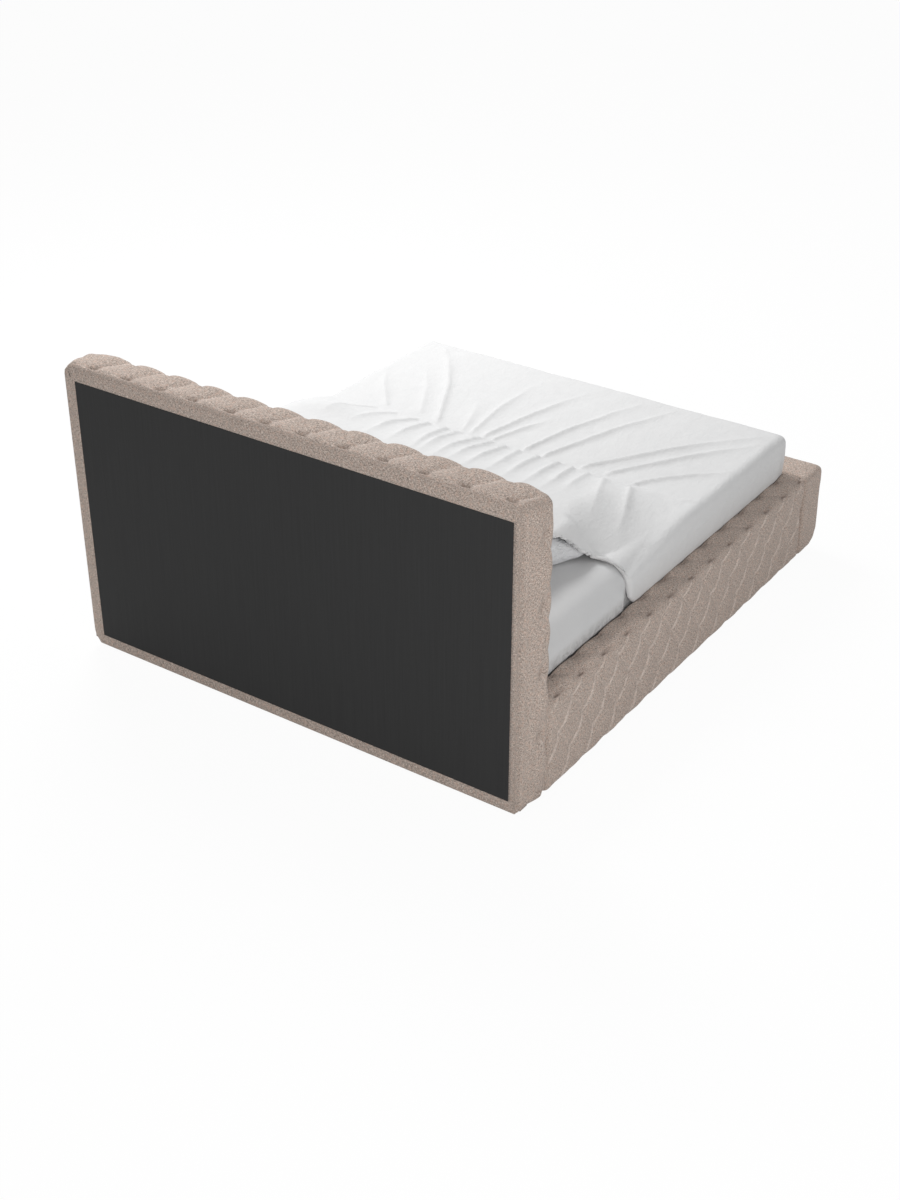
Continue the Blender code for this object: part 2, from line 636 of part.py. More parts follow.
def build_hanger(name, wall_y, side):
    # a plate on the bolting face with a cradle that the beam end drops into
    cradle_half = BEAM_WIDTH / 2 + FIT_GAP
    seat_z = LEDGE_TOP_Z - BEAM_HEIGHT - FIT_GAP
    wall = PLATE_THICKNESS
    outline = [(-cradle_half - wall, -wall), (cradle_half + wall, -wall),
               (cradle_half + wall, HANGER_WALL_HEIGHT), (cradle_half, HANGER_WALL_HEIGHT),
               (cradle_half, 0), (-cradle_half, 0),
               (-cradle_half, HANGER_WALL_HEIGHT), (-cradle_half - wall, HANGER_WALL_HEIGHT)]
    face = wall_y + side * FIT_GAP
    seat_length = HANGER_SEAT - wall / 2
    hanger = add_extruded(name, outline, seat_length, STEEL,
                          (0, face + side * (wall + seat_length) / 2, seat_z), (math.pi / 2, 0, 0))
    plate_size = (2 * (cradle_half + HANGER_PLATE_MARGIN), wall,
                  HANGER_WALL_HEIGHT + wall + 2 * HANGER_PLATE_LIP)
    plate = bpy.data.objects.new(name + " plate", box_mesh(name + " plate", plate_size))
    plate.location = (0, face + side * wall / 2, seat_z + (HANGER_WALL_HEIGHT - wall) / 2)
    join(hanger, plate)


def build_bracket(name, side, end):
    # an angle plate: one leg on the inner face of the rail, the other on the bolting face of the end board
    wall_y = HEAD_BOLTING_Y if end > 0 else FOOT_BOLTING_Y
    rail_end = HEAD_FRONT_Y if end > 0 else FOOT_INNER_Y
    run = abs(wall_y - rail_end) + BRACKET_LEG - FIT_GAP
    thick = PLATE_THICKNESS
    outline = [(0, 0), (BRACKET_LEG, 0), (BRACKET_LEG, thick), (thick, thick), (thick, run), (0, run)]
    face_x = INSIDE_WIDTH / 2 - FIT_GAP
    corner = (side * face_x, wall_y - end * FIT_GAP)
    placed = [(corner[0] - side * x, corner[1] - end * y) for x, y in outline]
    bracket = add_extruded(name, placed, BRACKET_HEIGHT, STEEL,
                           (0, 0, BRACKET_BASE + BRACKET_HEIGHT / 2))
    bm = bmesh.new()
    overlap = thick / 2
    tall = BOLT_HEAD_HEIGHT + overlap
    for height in (BRACKET_BASE + BOLT_INSET, BRACKET_BASE + BRACKET_HEIGHT - BOLT_INSET):
        on_rail = Vector((corner[0] - side * (thick - overlap + tall / 2),
                          corner[1] - end * (run - BRACKET_LEG / 2), height))
        on_wall = Vector((corner[0] - side * (BRACKET_LEG + thick) / 2,
                          corner[1] - end * (thick - overlap + tall / 2), height))
        for middle, axis in ((on_rail, 'Y'), (on_wall, 'X')):
            bmesh.ops.create_cone(bm, cap_ends=True, segments=12, radius1=BOLT_HEAD_RADIUS,
                                  radius2=BOLT_HEAD_RADIUS, depth=tall,
                                  matrix=Matrix.Translation(middle) @ Matrix.Rotation(math.pi / 2, 4, axis))
    heads = bpy.data.objects.new(name + " bolt heads", mesh_from(name + " bolt heads", bm))
    join(bracket, heads)


def build_leg(name, place):
    top = LEDGE_TOP_Z - BEAM_HEIGHT - FIT_GAP
    pad_ease = LEG_PAD_HEIGHT / 4
    profile = [(0, top), (LEG_PLATE_RADIUS, top), (LEG_PLATE_RADIUS, top - LEG_PLATE_HEIGHT),
               (LEG_TUBE_RADIUS, top - LEG_PLATE_HEIGHT),
               (LEG_TUBE_RADIUS, LEG_PAD_HEIGHT + LEG_COLLAR_HEIGHT),
               (LEG_COLLAR_RADIUS, LEG_PAD_HEIGHT + LEG_COLLAR_HEIGHT),
               (LEG_COLLAR_RADIUS, LEG_PAD_HEIGHT), (LEG_PAD_RADIUS, LEG_PAD_HEIGHT),
               (LEG_PAD_RADIUS, pad_ease), (LEG_PAD_RADIUS - pad_ease, 0), (0, 0)]
    add_turned(name, profile, STEEL, (0, place, 0))


def build_glide(name, x, y, top):
    profile = [(0, top), (GLIDE_FLANGE_RADIUS, top), (GLIDE_FLANGE_RADIUS, top - GLIDE_FLANGE_HEIGHT),
               (GLIDE_RADIUS, top - GLIDE_FLANGE_HEIGHT), (GLIDE_RADIUS, GLIDE_SOLE_HEIGHT),
               (GLIDE_SOLE_RADIUS, 0), (0, 0)]
    add_turned(name, profile, PLASTIC, (x, y, 0))


# Bedding

def mattress_crown(x, y):
    # how far the mattress swells above its edge at a place of the bed
    length = MATTRESS_HEAD_Y - MATTRESS_FOOT_Y
    middle = (MATTRESS_HEAD_Y + MATTRESS_FOOT_Y) / 2
    across = math.cos(math.pi * x / (2 * MATTRESS_HALF_WIDTH))
    along = math.cos(math.pi * (y - middle) / length)
    return MATTRESS_CROWN * math.sqrt(max(across * along, 0))


def build_mattress():
    low = Vector((-MATTRESS_HALF_WIDTH, MATTRESS_FOOT_Y, MATTRESS_BOTTOM_Z))
    high = Vector((MATTRESS_HALF_WIDTH, MATTRESS_HEAD_Y, MATTRESS_TOP_Z - MATTRESS_CROWN))
    size = high - low
    bm = bmesh.new()
    bmesh.ops.create_cube(bm, size=1, matrix=Matrix.Diagonal((*size, 1)))
    top = [face for face in bm.faces if face.normal.z > 0.5]
    edges = list({edge for face in top for edge in face.edges})
    bmesh.ops.subdivide_edges(bm, edges=edges, cuts=5, use_grid_fill=True)
    middle = (low + high) / 2
    for vert in bm.verts:
        if vert.co.z > 0:
            vert.co.z += mattress_crown(vert.co.x + middle.x, vert.co.y + middle.y)
    mesh = mesh_from("mattress", bm)
    smooth(mesh)
    mattress = add_object("mattress", mesh, TICKING, middle)
    bevel = mattress.modifiers.new("rounded edges", 'BEVEL')
    bevel.width = MATTRESS_EDGE_RADIUS
    bevel.segments = 3
    bevel.limit_method = 'ANGLE'


def build_pillow(name, side):
    half_width = PILLOW_WIDTH / 2
    half_depth = PILLOW_DEPTH / 2
    crown = PILLOW_THICKNESS - PILLOW_SEAM_RISE
    bm = bmesh.new()
    bmesh.ops.create_grid(bm, x_segments=8, y_segments=6, size=1)
    for vert in bm.verts:
        across = vert.co.x
        along = vert.co.y
        full = ((1 - across ** 4) * (1 - along ** 4)) ** 0.5
        waist_x = across * (half_width - PILLOW_WAIST * (1 - along ** 2))
        waist_y = along * (half_depth - PILLOW_WAIST * (1 - across ** 2))
        vert.co = (waist_x, waist_y, crown * full)
    for corner in [vert for vert in bm.verts if len(vert.link_faces) == 1]:
        face = corner.link_faces[0]
        order = list(face.verts)
        bmesh.utils.face_split(face, corner, order[(order.index(corner) + 2) % 4])
    under = bmesh.ops.duplicate(bm, geom=list(bm.verts) + list(bm.edges) + list(bm.faces))
    for vert in [item for item in under["geom"] if isinstance(item, bmesh.types.BMVert)]:
        vert.co.z *= -(PILLOW_SEAM_RISE - FIT_GAP) / crown
    bmesh.ops.remove_doubles(bm, verts=bm.verts, dist=MERGE_DISTANCE)
    mesh = mesh_from(name, bm)
    smooth(mesh, 70)
    x = side * (PILLOW_MIDDLE_GAP / 2 + half_width)
    y = HEAD_FRONT_Y - PILLOW_HEADBOARD_GAP - half_depth
    seat_z = MATTRESS_TOP_Z - MATTRESS_CROWN + mattress_crown(x, y)
    add_object(name, mesh, COTTON, (x, y, seat_z + PILLOW_SEAM_RISE))


def ease_between(value, start, end):
    share = min(max((value - start) / (end - start), 0), 1)
    return share * share * (3 - 2 * share)


def duvet_half_width(y):
    tucked = INSIDE_WIDTH / 2 - FIT_GAP
    return tucked - DUVET_LOOSE_INSET * ease_between(y, DUVET_TUCKED_Y, DUVET_LOOSE_Y)


def duvet_hem(y):
    # tucked beside the mattress, then on top of it
    tucked = RAIL_TOP_Z - TUCK_DEPTH
    out_of_tuck = ease_between(y, DUVET_TUCKED_Y - TUCK_DEPTH, DUVET_LOOSE_Y)
    return tucked + (MATTRESS_TOP_Z - tucked) * out_of_tuck


def duvet_lift(y):
    # rises from the crease across the bed and levels out where it lies over the pillows
    share = min(max((y - DUVET_CREASE_Y) / (DUVET_CREST_Y - DUVET_CREASE_Y), 0), 1)
    return DUVET_LIFT * math.sin(math.pi / 2 * share)


def duvet_folds(x, y):
    # ridges that meet at the crease: straight towards the head, fanned out towards the foot
    half_width = INSIDE_WIDTH / 2
    if y > DUVET_CREASE_Y:
        spread = 1
        fade = 1 - ease_between(y, DUVET_CREASE_Y, DUVET_CREST_Y)
    else:
        towards_foot = (DUVET_CREASE_Y - y) / (DUVET_CREASE_Y - FOOT_INNER_Y)
        spread = 1 + towards_foot / 2
        fade = 1 - towards_foot ** 2
    ridge = (0.5 + 0.5 * math.cos(math.pi * DUVET_FOLD_COUNT * x / spread / half_width)) ** 2
    edge = 1 - ease_between(abs(x) / half_width, *FOLD_EDGE_SHARES)
    return DUVET_FOLD_HEIGHT * ridge * fade * edge


def duvet_block(rows, columns):
    # one closed block: its top is the surface of the duvet, its bottom the level of the hem
    radius = DUVET_EDGE_RADIUS
    bm = bmesh.new()
    ring = columns + 3
    bmesh.ops.create_grid(bm, x_segments=len(rows) - 1, y_segments=ring, size=0.5)
    for vert in bm.verts:
        y = rows[round((vert.co.x + 0.5) * (len(rows) - 1))]
        place = round((vert.co.y + 0.5) * ring) % ring
        half = duvet_half_width(y)
        if place > columns:
            x = half if place == columns + 1 else -half
            z = duvet_hem(y)
        else:
            x = across_place(place, columns, half, radius)
            beyond_side = max(abs(x) - (half - radius), 0)
            beyond_foot = max(rows[0] + radius - y, 0)
            reach = min(math.hypot(beyond_side, beyond_foot), radius)
            z = MATTRESS_TOP_Z + FIT_GAP + DUVET_THICKNESS + duvet_lift(y) + duvet_folds(x, y)
            z -= radius - math.sqrt(radius * radius - reach * reach)
        vert.co = (x, y, z)
    bmesh.ops.remove_doubles(bm, verts=bm.verts, dist=MERGE_DISTANCE)
    bmesh.ops.holes_fill(bm, edges=[edge for edge in bm.edges if edge.is_boundary], sides=0)
    return mesh_from("duvet", bm)


def across_place(place, columns, half, radius):
    # even steps over the flat of the bed, with three on each rounded edge
    side = -1 if place < columns / 2 else 1
    from_edge = min(place, columns - place)
    if from_edge < 3:
        angle = math.pi / 2 * (3 - from_edge) / 3
        return side * (half - radius + radius * math.sin(angle))
    flat = half - radius
    return -flat + 2 * flat * (place - 3) / (columns - 6)


def steps_between(start, end, count):
    return [start + (end - start) * step / count for step in range(1, count + 1)]


def build_duvet():
    foot = FOOT_INNER_Y + FIT_GAP
    arc = [DUVET_EDGE_RADIUS * (1 - math.cos(math.radians(angle))) for angle in (0, 40, 65, 90)]
    rows = [foot + reach for reach in arc]
    rows += steps_between(rows[-1], DUVET_CREASE_Y, 4)
    rows += steps_between(DUVET_CREASE_Y, DUVET_TUCKED_Y, 3)
    rows += steps_between(DUVET_TUCKED_Y, DUVET_LOOSE_Y, 4)
    rows += [DUVET_CREST_Y, DUVET_HEAD_Y]
    mesh = duvet_block(rows, 4 * DUVET_FOLD_COUNT + 6)
    smooth(mesh, 60)
    duvet = add_object("duvet", mesh, COTTON)
    gap = FIT_GAP
    cut(duvet, add_cutter("mattress room", (-MATTRESS_HALF_WIDTH - gap, MATTRESS_FOOT_Y - gap, 0),
                          (MATTRESS_HALF_WIDTH + gap, MATTRESS_HEAD_Y, MATTRESS_TOP_Z + gap)))
    inner = PILLOW_MIDDLE_GAP / 2 + PILLOW_WIDTH + DUVET_PILLOW_CLEARANCE
    room_top = MATTRESS_TOP_Z + PILLOW_THICKNESS + DUVET_PILLOW_CLEARANCE
    cut(duvet, add_cutter("pillow room", (-inner, PILLOW_FOOT_Y - DUVET_PILLOW_CLEARANCE, 0),
                          (inner, DUVET_HEAD_Y + CUT_OVERRUN, room_top)))


def build_bed():
    build_headboard()
    for side, name in ((1, "left"), (-1, "right")):
        build_side_rail(side, name)
        build_ledge(side, name)
    build_footboard()
    build_beam()
    build_slats()
    build_hanger("beam_hanger_head", HEAD_BOLTING_Y, -1)
    build_hanger("beam_hanger_foot", FOOT_BOLTING_Y, 1)
    build_leg("centre_leg_head", INSIDE_MIDDLE_Y + LEG_SPREAD / 2)
    build_leg("centre_leg_foot", INSIDE_MIDDLE_Y - LEG_SPREAD / 2)
    for side, name in ((1, "left"), (-1, "right")):
        build_bracket("corner_bracket_head_" + name, side, 1)
        build_bracket("corner_bracket_foot_" + name, side, -1)
        x = side * (OVER_RAILS / 2 - GLIDE_SIDE_INSET)
        build_glide("glide_head_" + name, x, HEAD_BACK_Y - GLIDE_END_INSET, FLOOR_GAP - FIT_GAP)
        build_glide("glide_foot_" + name, x, FOOT_OUTER_Y + GLIDE_END_INSET, FLOOR_GAP - FIT_GAP)
        build_pillow("pillow_" + name, side)
    build_mattress()
    build_duvet()


clear_scene()
PARTS = make_collection("upholstered bed")
CUTTERS = make_collection("cutters")
UPHOLSTERY = make_material("woven upholstery", (0.376, 0.314, 0.275), 0.92)
BACK_CLOTH = make_material("non-woven back cloth", (0.03, 0.032, 0.034), 0.9)
TIMBER = make_material("planed pine", (0.62, 0.44, 0.25), 0.6)
BOARD = make_material("core board", (0.5, 0.38, 0.25), 0.8)
BEECH = make_material("laminated beech", (0.66, 0.47, 0.3), 0.45)
STEEL = make_material("zinc-plated steel", (0.55, 0.56, 0.57), 0.35, 1.0)
PLASTIC = make_material("black plastic", (0.02, 0.02, 0.02), 0.5)
TICKING = make_material("white fitted sheet", (0.78, 0.79, 0.8), 0.85)
COTTON = make_material("white cotton", (0.83, 0.83, 0.83), 0.85)
build_bed()
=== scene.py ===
import json
import math

import bmesh
import bpy
import numpy as np
from mathutils import Matrix, Vector
from mathutils.bvhtree import BVHTree


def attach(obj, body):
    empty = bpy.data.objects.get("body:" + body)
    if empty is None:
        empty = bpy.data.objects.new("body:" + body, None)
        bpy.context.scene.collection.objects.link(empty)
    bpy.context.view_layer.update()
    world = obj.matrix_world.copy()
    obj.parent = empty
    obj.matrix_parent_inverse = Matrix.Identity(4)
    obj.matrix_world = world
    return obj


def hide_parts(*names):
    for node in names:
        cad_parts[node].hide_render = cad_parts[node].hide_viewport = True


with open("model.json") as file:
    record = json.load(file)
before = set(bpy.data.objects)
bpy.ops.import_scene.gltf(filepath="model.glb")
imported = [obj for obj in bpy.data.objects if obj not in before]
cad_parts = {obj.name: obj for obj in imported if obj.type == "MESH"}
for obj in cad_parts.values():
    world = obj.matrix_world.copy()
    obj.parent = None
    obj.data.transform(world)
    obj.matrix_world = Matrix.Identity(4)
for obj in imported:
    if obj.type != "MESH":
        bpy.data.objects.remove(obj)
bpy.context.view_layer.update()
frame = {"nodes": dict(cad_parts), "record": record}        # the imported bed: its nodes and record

print("frame loaded:", len(frame["nodes"]), "nodes")


# Shader maths

class Wire:
    # one socket of a node tree, so that shader maths reads as sums
    def __init__(self, tree, socket):
        self.tree = tree
        self.socket = socket

    def math(self, operation, *values):
        made = self.tree.nodes.new("ShaderNodeMath")
        made.operation = operation
        for socket, value in zip(made.inputs, values):
            if isinstance(value, Wire):
                self.tree.links.new(value.socket, socket)
            else:
                socket.default_value = value
        return Wire(self.tree, made.outputs[0])

    def __add__(self, other):
        return self.math('ADD', self, other)

    def __sub__(self, other):
        return self.math('SUBTRACT', self, other)

    def __rsub__(self, other):
        return self.math('SUBTRACT', other, self)

    def __mul__(self, other):
        return self.math('MULTIPLY', self, other)

    __radd__ = __add__
    __rmul__ = __mul__


class Finish:
    # the nodes of a material or of the world, and the one method that adds any node to them
    def __init__(self, owner, shader, inputs):
        owner.use_nodes = True
        self.owner = owner
        self.tree = owner.node_tree
        self.shader = self.tree.nodes[shader]
        self.feed(inputs)

    def node(self, kind, settings, inputs, output=0):
        made = self.tree.nodes.new("ShaderNode" + kind)
        for key, value in settings.items():
            setattr(made, key, value)
        for key, value in inputs.items():
            self.give(made.inputs[key], value)
        return Wire(self.tree, made.outputs[output])

    def give(self, socket, value):
        if isinstance(value, Wire):
            self.tree.links.new(value.socket, socket)
        elif socket.type == 'RGBA':
            socket.default_value = (*value, 1.0)
        else:
            socket.default_value = value

    def feed(self, inputs):
        for key, value in inputs.items():
            self.give(self.shader.inputs[key], value)

    def finished(self, colour, roughness, normal, more):
        self.feed({"Base Color": colour, "Roughness": roughness, "Normal": normal, **more})
        return self.owner

    def place(self, kind="Object"):
        return self.node("TexCoord", {}, {}, kind)

    def part(self, vector, axis):
        return self.node("SeparateXYZ", {}, {"Vector": vector}, axis)

    def mark(self, name):
        return self.node("Attribute", {"attribute_name": name}, {}, "Fac")

    def stretched(self, vector, scale):
        return self.node("Mapping", {}, {"Vector": vector, "Scale": scale})

    def noise(self, vector, scale, detail=2.0, roughness=0.5):
        # a scale of three numbers stretches the pattern
        if isinstance(scale, tuple):
            vector, scale = self.stretched(vector, scale), 1.0
        return self.node("TexNoise", {}, {
            "Vector": vector, "Scale": scale, "Detail": detail, "Roughness": roughness})

    def ramp(self, value, stops):
        made = self.node("ValToRGB", {}, {"Fac": value})
        elements = made.socket.node.color_ramp.elements
        while len(elements) < len(stops):
            elements.new(1.0)
        for element, (place, shade) in zip(elements, stops):
            element.position = place
            element.color = (shade, shade, shade, 1.0)
        return made

    def blend(self, share, first, second, kind='MIX'):
        settings = {"data_type": 'RGBA', "blend_type": kind}
        return self.node("Mix", settings, {0: share, 6: first, 7: second}, 2)

    def bump(self, height, distance, strength=1.0, normal=None):
        inputs = {"Height": height, "Distance": distance, "Strength": strength}
        if normal:
            inputs["Normal"] = normal
        return self.node("Bump", {}, inputs)

    def mixSurface(self, share, other):
        # what shows is the finish's own shader and, by that share, the other one
        own = Wire(self.tree, self.shader.outputs[0])
        mixed = self.node("MixShader", {}, {0: share, 1: own, 2: other})
        output = next(node for node in self.tree.nodes if "Surface" in node.inputs)
        self.tree.links.new(mixed.socket, output.inputs["Surface"])


def newFinish(name, colour, roughness):
    material = bpy.data.materials.new(name)
    return Finish(material, "Principled BSDF", {"Base Color": colour, "Roughness": roughness})


def foldLines(made, uv):
    # the pleats' lips: thin bowed lines from tuft to tuft, broken here and there, drawn paler partly as worn
    # fabric and partly as a painted highlight where they catch the light
    lattice = made.node("UVMap", {"uv_map": "pleats"}, {}, "UV")
    half, other = made.part(lattice, "X"), made.part(lattice, "Y")
    wobble = made.noise(uv, 30.0, 3.0, 0.6) * 0.13 - 0.065
    broken = made.ramp(made.noise(uv, 34.0), [(0.34, 0.35), (0.55, 1.0)])
    lines = []
    for line, across, bow, name in ((half, other, 0.15, "foldHalf"), (other, half, 0.1, "foldOther")):
        line = line + wobble + across.math('PINGPONG', across, 0.5) * bow
        near = made.ramp(line.math('PINGPONG', line, 0.5), [(0.0, 1.0), (0.025, 0.75), (0.07, 0.0)])
        lines.append(near * made.mark(name))
    return (lines[0] + lines[1]) * broken


def wovenCover():
    # heathered taupe wool look: mixed fibres, an open plain weave, pilling, fold lips drawn paler as wear and
    # as painted highlight, and painted shade in the tufts' dimples and hollows
    look = {"dark": (0.165, 0.132, 0.112), "middle": (0.475, 0.39, 0.34), "light": (0.92, 0.8, 0.71),
            "rose": (0.62, 0.44, 0.355), "wornAndLit": (0.84, 0.73, 0.66), "shadedHollow": (0.24, 0.19, 0.165),
            "threads": 83.0, "weaveHeight": 0.0006, "fuzzHeight": 0.0014, "lipHeight": 0.0016}
    made = newFinish("wovenCover", look["middle"], 0.92)
    uv = made.place("UV")
    warp = made.noise(uv, (400, 105, 1), 3.0, 0.7)
    weft = made.noise(uv, (105, 400, 1), 3.0, 0.7)
    flecks = made.noise(uv, 210.0, 3.0, 0.8)
    blush = made.ramp(made.noise(uv, 75.0, 3.0, 0.6), [(0.48, 0.0), (0.66, 0.55)])
    darker = made.ramp(warp * 0.5 + weft * 0.5, [(0.41, 1.0), (0.54, 0.0)])
    lighter = made.ramp(weft * 0.4 + warp * 0.3 + flecks * 0.3, [(0.48, 0.0), (0.59, 1.0)])
    base = made.blend(darker * 0.8, look["middle"], look["dark"])
    base = made.blend(lighter * 0.8, base, look["light"])
    base = made.blend(blush, base, look["rose"])
    fold = foldLines(made, uv)
    # fold lips drawn paler: partly wear, partly a painted highlight on their lit edge
    base = made.blend(fold * (0.15 + flecks * 0.75), base, look["wornAndLit"])
    # painted shade: darker colour in the tuft dimples and in the rails' wide hollows
    base = made.blend(made.mark("dimple") * 0.55, base, look["shadedHollow"])
    clouds = made.ramp(made.noise(uv, 16.0, 4.0, 0.6), [(0.3, 0.9), (0.7, 1.0)])
    base = made.blend(1.0, base, clouds, 'MULTIPLY')
    threads = {"Vector": uv, "Scale": look["threads"], "Distortion": 0.6, "Detail": 1.0}
    across, along = (made.node("TexWave", {"wave_type": 'BANDS', "bands_direction": axis}, threads)
                     for axis in "XY")
    weave = made.bump(across * along + flecks * 0.6, look["weaveHeight"], 0.7)
    fuzz = made.bump(flecks * 0.5 + warp * 0.3 + weft * 0.2, look["fuzzHeight"], 0.7, weave)
    lips = made.bump(fold, look["lipHeight"], 0.8, fuzz)
    return made.finished(base, 0.86 + flecks * 0.12, lips, {
        "Sheen Weight": 0.1, "Sheen Roughness": 0.5, "Specular IOR Level": 0.2})


def backCloth():
    # charcoal non-woven cloth: matt, with faint upright streaks and pressed dots
    look = {"dark": (0.026, 0.026, 0.0265), "light": (0.043, 0.043, 0.043), "dotPitch": 0.0035}
    made = newFinish("backCloth", look["dark"], 0.85)
    spot = made.place()
    streaks = made.noise(spot, (160, 160, 3), 4.0, 0.6)
    fibres = made.noise(spot, 420.0, 3.0, 0.7)
    dots = made.node("TexVoronoi", {"voronoi_dimensions": '3D'}, {
        "Vector": spot, "Scale": 1 / look["dotPitch"], "Randomness": 0.25})
    pressed = made.ramp(dots, [(0.0, 0.0), (0.35, 1.0)])
    colour = made.blend(streaks * 0.7 + fibres * 0.3, look["dark"], look["light"])
    normal = made.bump(pressed * 0.5 + fibres * 0.5, 0.0003, 0.5)
    return made.finished(colour, 0.8 + fibres * 0.12, normal, {"Specular IOR Level": 0.25})


def whiteCotton(name, look):
    # plain percale: thread-fine weave, soft creasing and hardly any colour of its own, with painted shade that
    # follows the creasing and, where gathered, the gathers
    made = newFinish(name, look["colour"], 0.85)
    spot = made.place()
    threads = made.noise(spot, (1500, 1500, 1500), 1.0)
    creases = made.noise(spot, look["creaseScale"], 5.0, 0.62)
    sharp = made.noise(spot, look["creaseStretch"], 3.0, 0.55)
    width = look["lineWidth"]
    fine = made.ramp(sharp, [(0.5 - width, 0.0), (0.5, 1.0), (0.5 + width, 0.0)])
    tint = made.blend(creases, look["colour"], look["shade"])
    soft = made.bump(creases + fine * look["fineShare"], look["creaseHeight"], 0.6)
    if "gathered" in look:
        pulled = made.noise(spot, look["gathered"], 3.0, 0.6)
        lines = made.ramp(pulled, [(0.42, 0.0), (0.49, 1.0), (0.56, 0.0)])
        lines = lines * made.ramp(made.part(spot, "Z"), [(0.41, 1.0), (0.47, 0.0)])
        soft = made.bump(lines, -look["gatherHeight"], 1.0, soft)
        # painted shade: the gathers' lines are drawn towards the dark deep colour
        tint = made.blend(lines * 0.2, tint, look["deep"])
    return made.finished(tint, 0.8 + threads * 0.12, made.bump(threads, 0.0001, 0.35, soft), {
        "Sheen Weight": 0.12, "Sheen Roughness": 0.4, "Specular IOR Level": 0.2})


def sawnWood(name, look):
    # grain along one axis: growth rings cut lengthwise and fine pores
    made = newFinish(name, look["light"], look["roughness"])
    spot = made.place()
    bent = made.noise(spot, look["bend"])
    rings = made.node("TexWave", {"wave_type": 'RINGS', "rings_direction": look["axis"]}, {
        "Vector": made.stretched(spot, look["ringStretch"]), "Scale": look["ringScale"],
        "Distortion": 4.0, "Detail": 3.0, "Detail Scale": 1.4})
    pores = made.noise(spot, look["poreStretch"], 4.0, 0.7)
    share = made.ramp(rings * 0.6 + bent * 0.4, [(0.25, 0.0), (0.85, 1.0)])
    colour = made.blend(share, look["light"], look["dark"])
    colour = made.blend(made.ramp(pores, [(0.55, 0.0), (0.72, 0.45)]), colour, look["pore"])
    normal = made.bump(pores * 0.7 + rings * 0.3, 0.0004, 0.5)
    return made.finished(colour, look["roughness"] + pores * 0.18, normal, {"Coat Weight": look["coat"]})


def coreBoard():
    # pressed chips, light and dark, sealed by sanding
    made = newFinish("coreBoard", (0.5, 0.38, 0.25), 0.8)
    spot = made.place()
    chips = made.node("TexVoronoi", {"feature": 'F1'}, {
        "Vector": made.stretched(spot, (90, 200, 140)), "Scale": 1.0, "Randomness": 1.0}, "Color")
    dust = made.noise(spot, 260.0, 4.0, 0.7)
    tone = made.node("RGBToBW", {}, {"Color": chips})
    colour = made.blend(tone * 0.7 + dust * 0.3, (0.36, 0.25, 0.15), (0.62, 0.49, 0.33))
    return made.finished(colour, 0.7 + dust * 0.2, made.bump(tone * 0.5 + dust * 0.5, 0.0004, 0.5), {})


def zincSteel():
    # bright zinc plating: faint crystals, brushed marks and duller patches
    made = newFinish("zincSteel", (0.55, 0.56, 0.57), 0.35)
    spot = made.place()
    crystals = made.noise(spot, 55.0, 3.0, 0.6)
    brushed = made.noise(spot, (60, 60, 900))
    colour = made.blend(crystals, (0.5, 0.51, 0.52), (0.62, 0.63, 0.63))
    roughness = 0.26 + crystals * 0.2 + brushed * 0.06
    return made.finished(colour, roughness, made.bump(brushed, 0.0001, 0.3), {"Metallic": 1.0})


def blackPlastic():
    # moulded plastic with a fine spark-eroded grain, dusty where it stands on the floor
    made = newFinish("blackPlastic", (0.02, 0.02, 0.02), 0.5)
    spot = made.place()
    dust = made.noise(spot, 40.0, 4.0, 0.6)
    colour = made.blend(dust, (0.014, 0.014, 0.015), (0.035, 0.034, 0.033))
    return made.finished(colour, 0.42 + dust * 0.2, made.bump(made.noise(spot, 1400.0), 0.0001, 0.4), {})


coverFinish = wovenCover()
duvetFinish = whiteCotton("duvetCotton", {
    "colour": (0.735, 0.735, 0.735), "shade": (0.69, 0.692, 0.695), "creaseScale": 19.0,
    "creaseStretch": (24, 10, 24), "fineShare": 0.22, "creaseHeight": 0.0042, "lineWidth": 0.09})
# the sheet's deep colour is painted shade in its gathers
sheetFinish = whiteCotton("sheetCotton", {
    "colour": (0.67, 0.672, 0.675), "shade": (0.62, 0.623, 0.628), "creaseScale": 9.0,
    "creaseStretch": (14, 20, 20), "fineShare": 0.15, "creaseHeight": 0.0016, "lineWidth": 0.06,
    "gathered": (80, 64, 18), "gatherHeight": 0.0035, "deep": (0.3, 0.3, 0.31)})
pillowFinish = whiteCotton("pillowCotton", {
    "colour": (0.74, 0.745, 0.755), "shade": (0.66, 0.666, 0.68), "creaseScale": 30.0,
    "creaseStretch": (42, 20, 42), "fineShare": 0.5, "creaseHeight": 0.009, "lineWidth": 0.12})
nodeFinishes = {
    "back_cloth": backCloth(),
    "timber": sawnWood("planedPine", {
        "light": (0.66, 0.47, 0.27), "dark": (0.5, 0.31, 0.14), "pore": (0.33, 0.19, 0.08),
        "roughness": 0.55, "coat": 0.0, "axis": 'Y', "bend": (9, 0.7, 9), "ringStretch": (1, 0.06, 1),
        "ringScale": 14.0, "poreStretch": (240, 8, 240)}),
    "beech": sawnWood("laminatedBeech", {
        "light": (0.69, 0.49, 0.32), "dark": (0.6, 0.4, 0.24), "pore": (0.38, 0.22, 0.11),
        "roughness": 0.34, "coat": 0.35, "axis": 'X', "bend": (0.8, 14, 14), "ringStretch": (0.05, 1, 6),
        "ringScale": 22.0, "poreStretch": (14, 420, 420)}),
    "core_board": coreBoard(), "zinc_steel": zincSteel(), "black_plastic": blackPlastic()}
print("finishes made")


# Shared measures of the frame, in metres, as the CAD has them

bed = {"insideHalf": 0.9, "overHalf": 1.0065, "headFront": 1.0185, "footOuter": -1.1635, "middleY": 0.011,
       "floorGap": 0.025, "mattressTop": 0.5596, "fitGap": 0.0003}
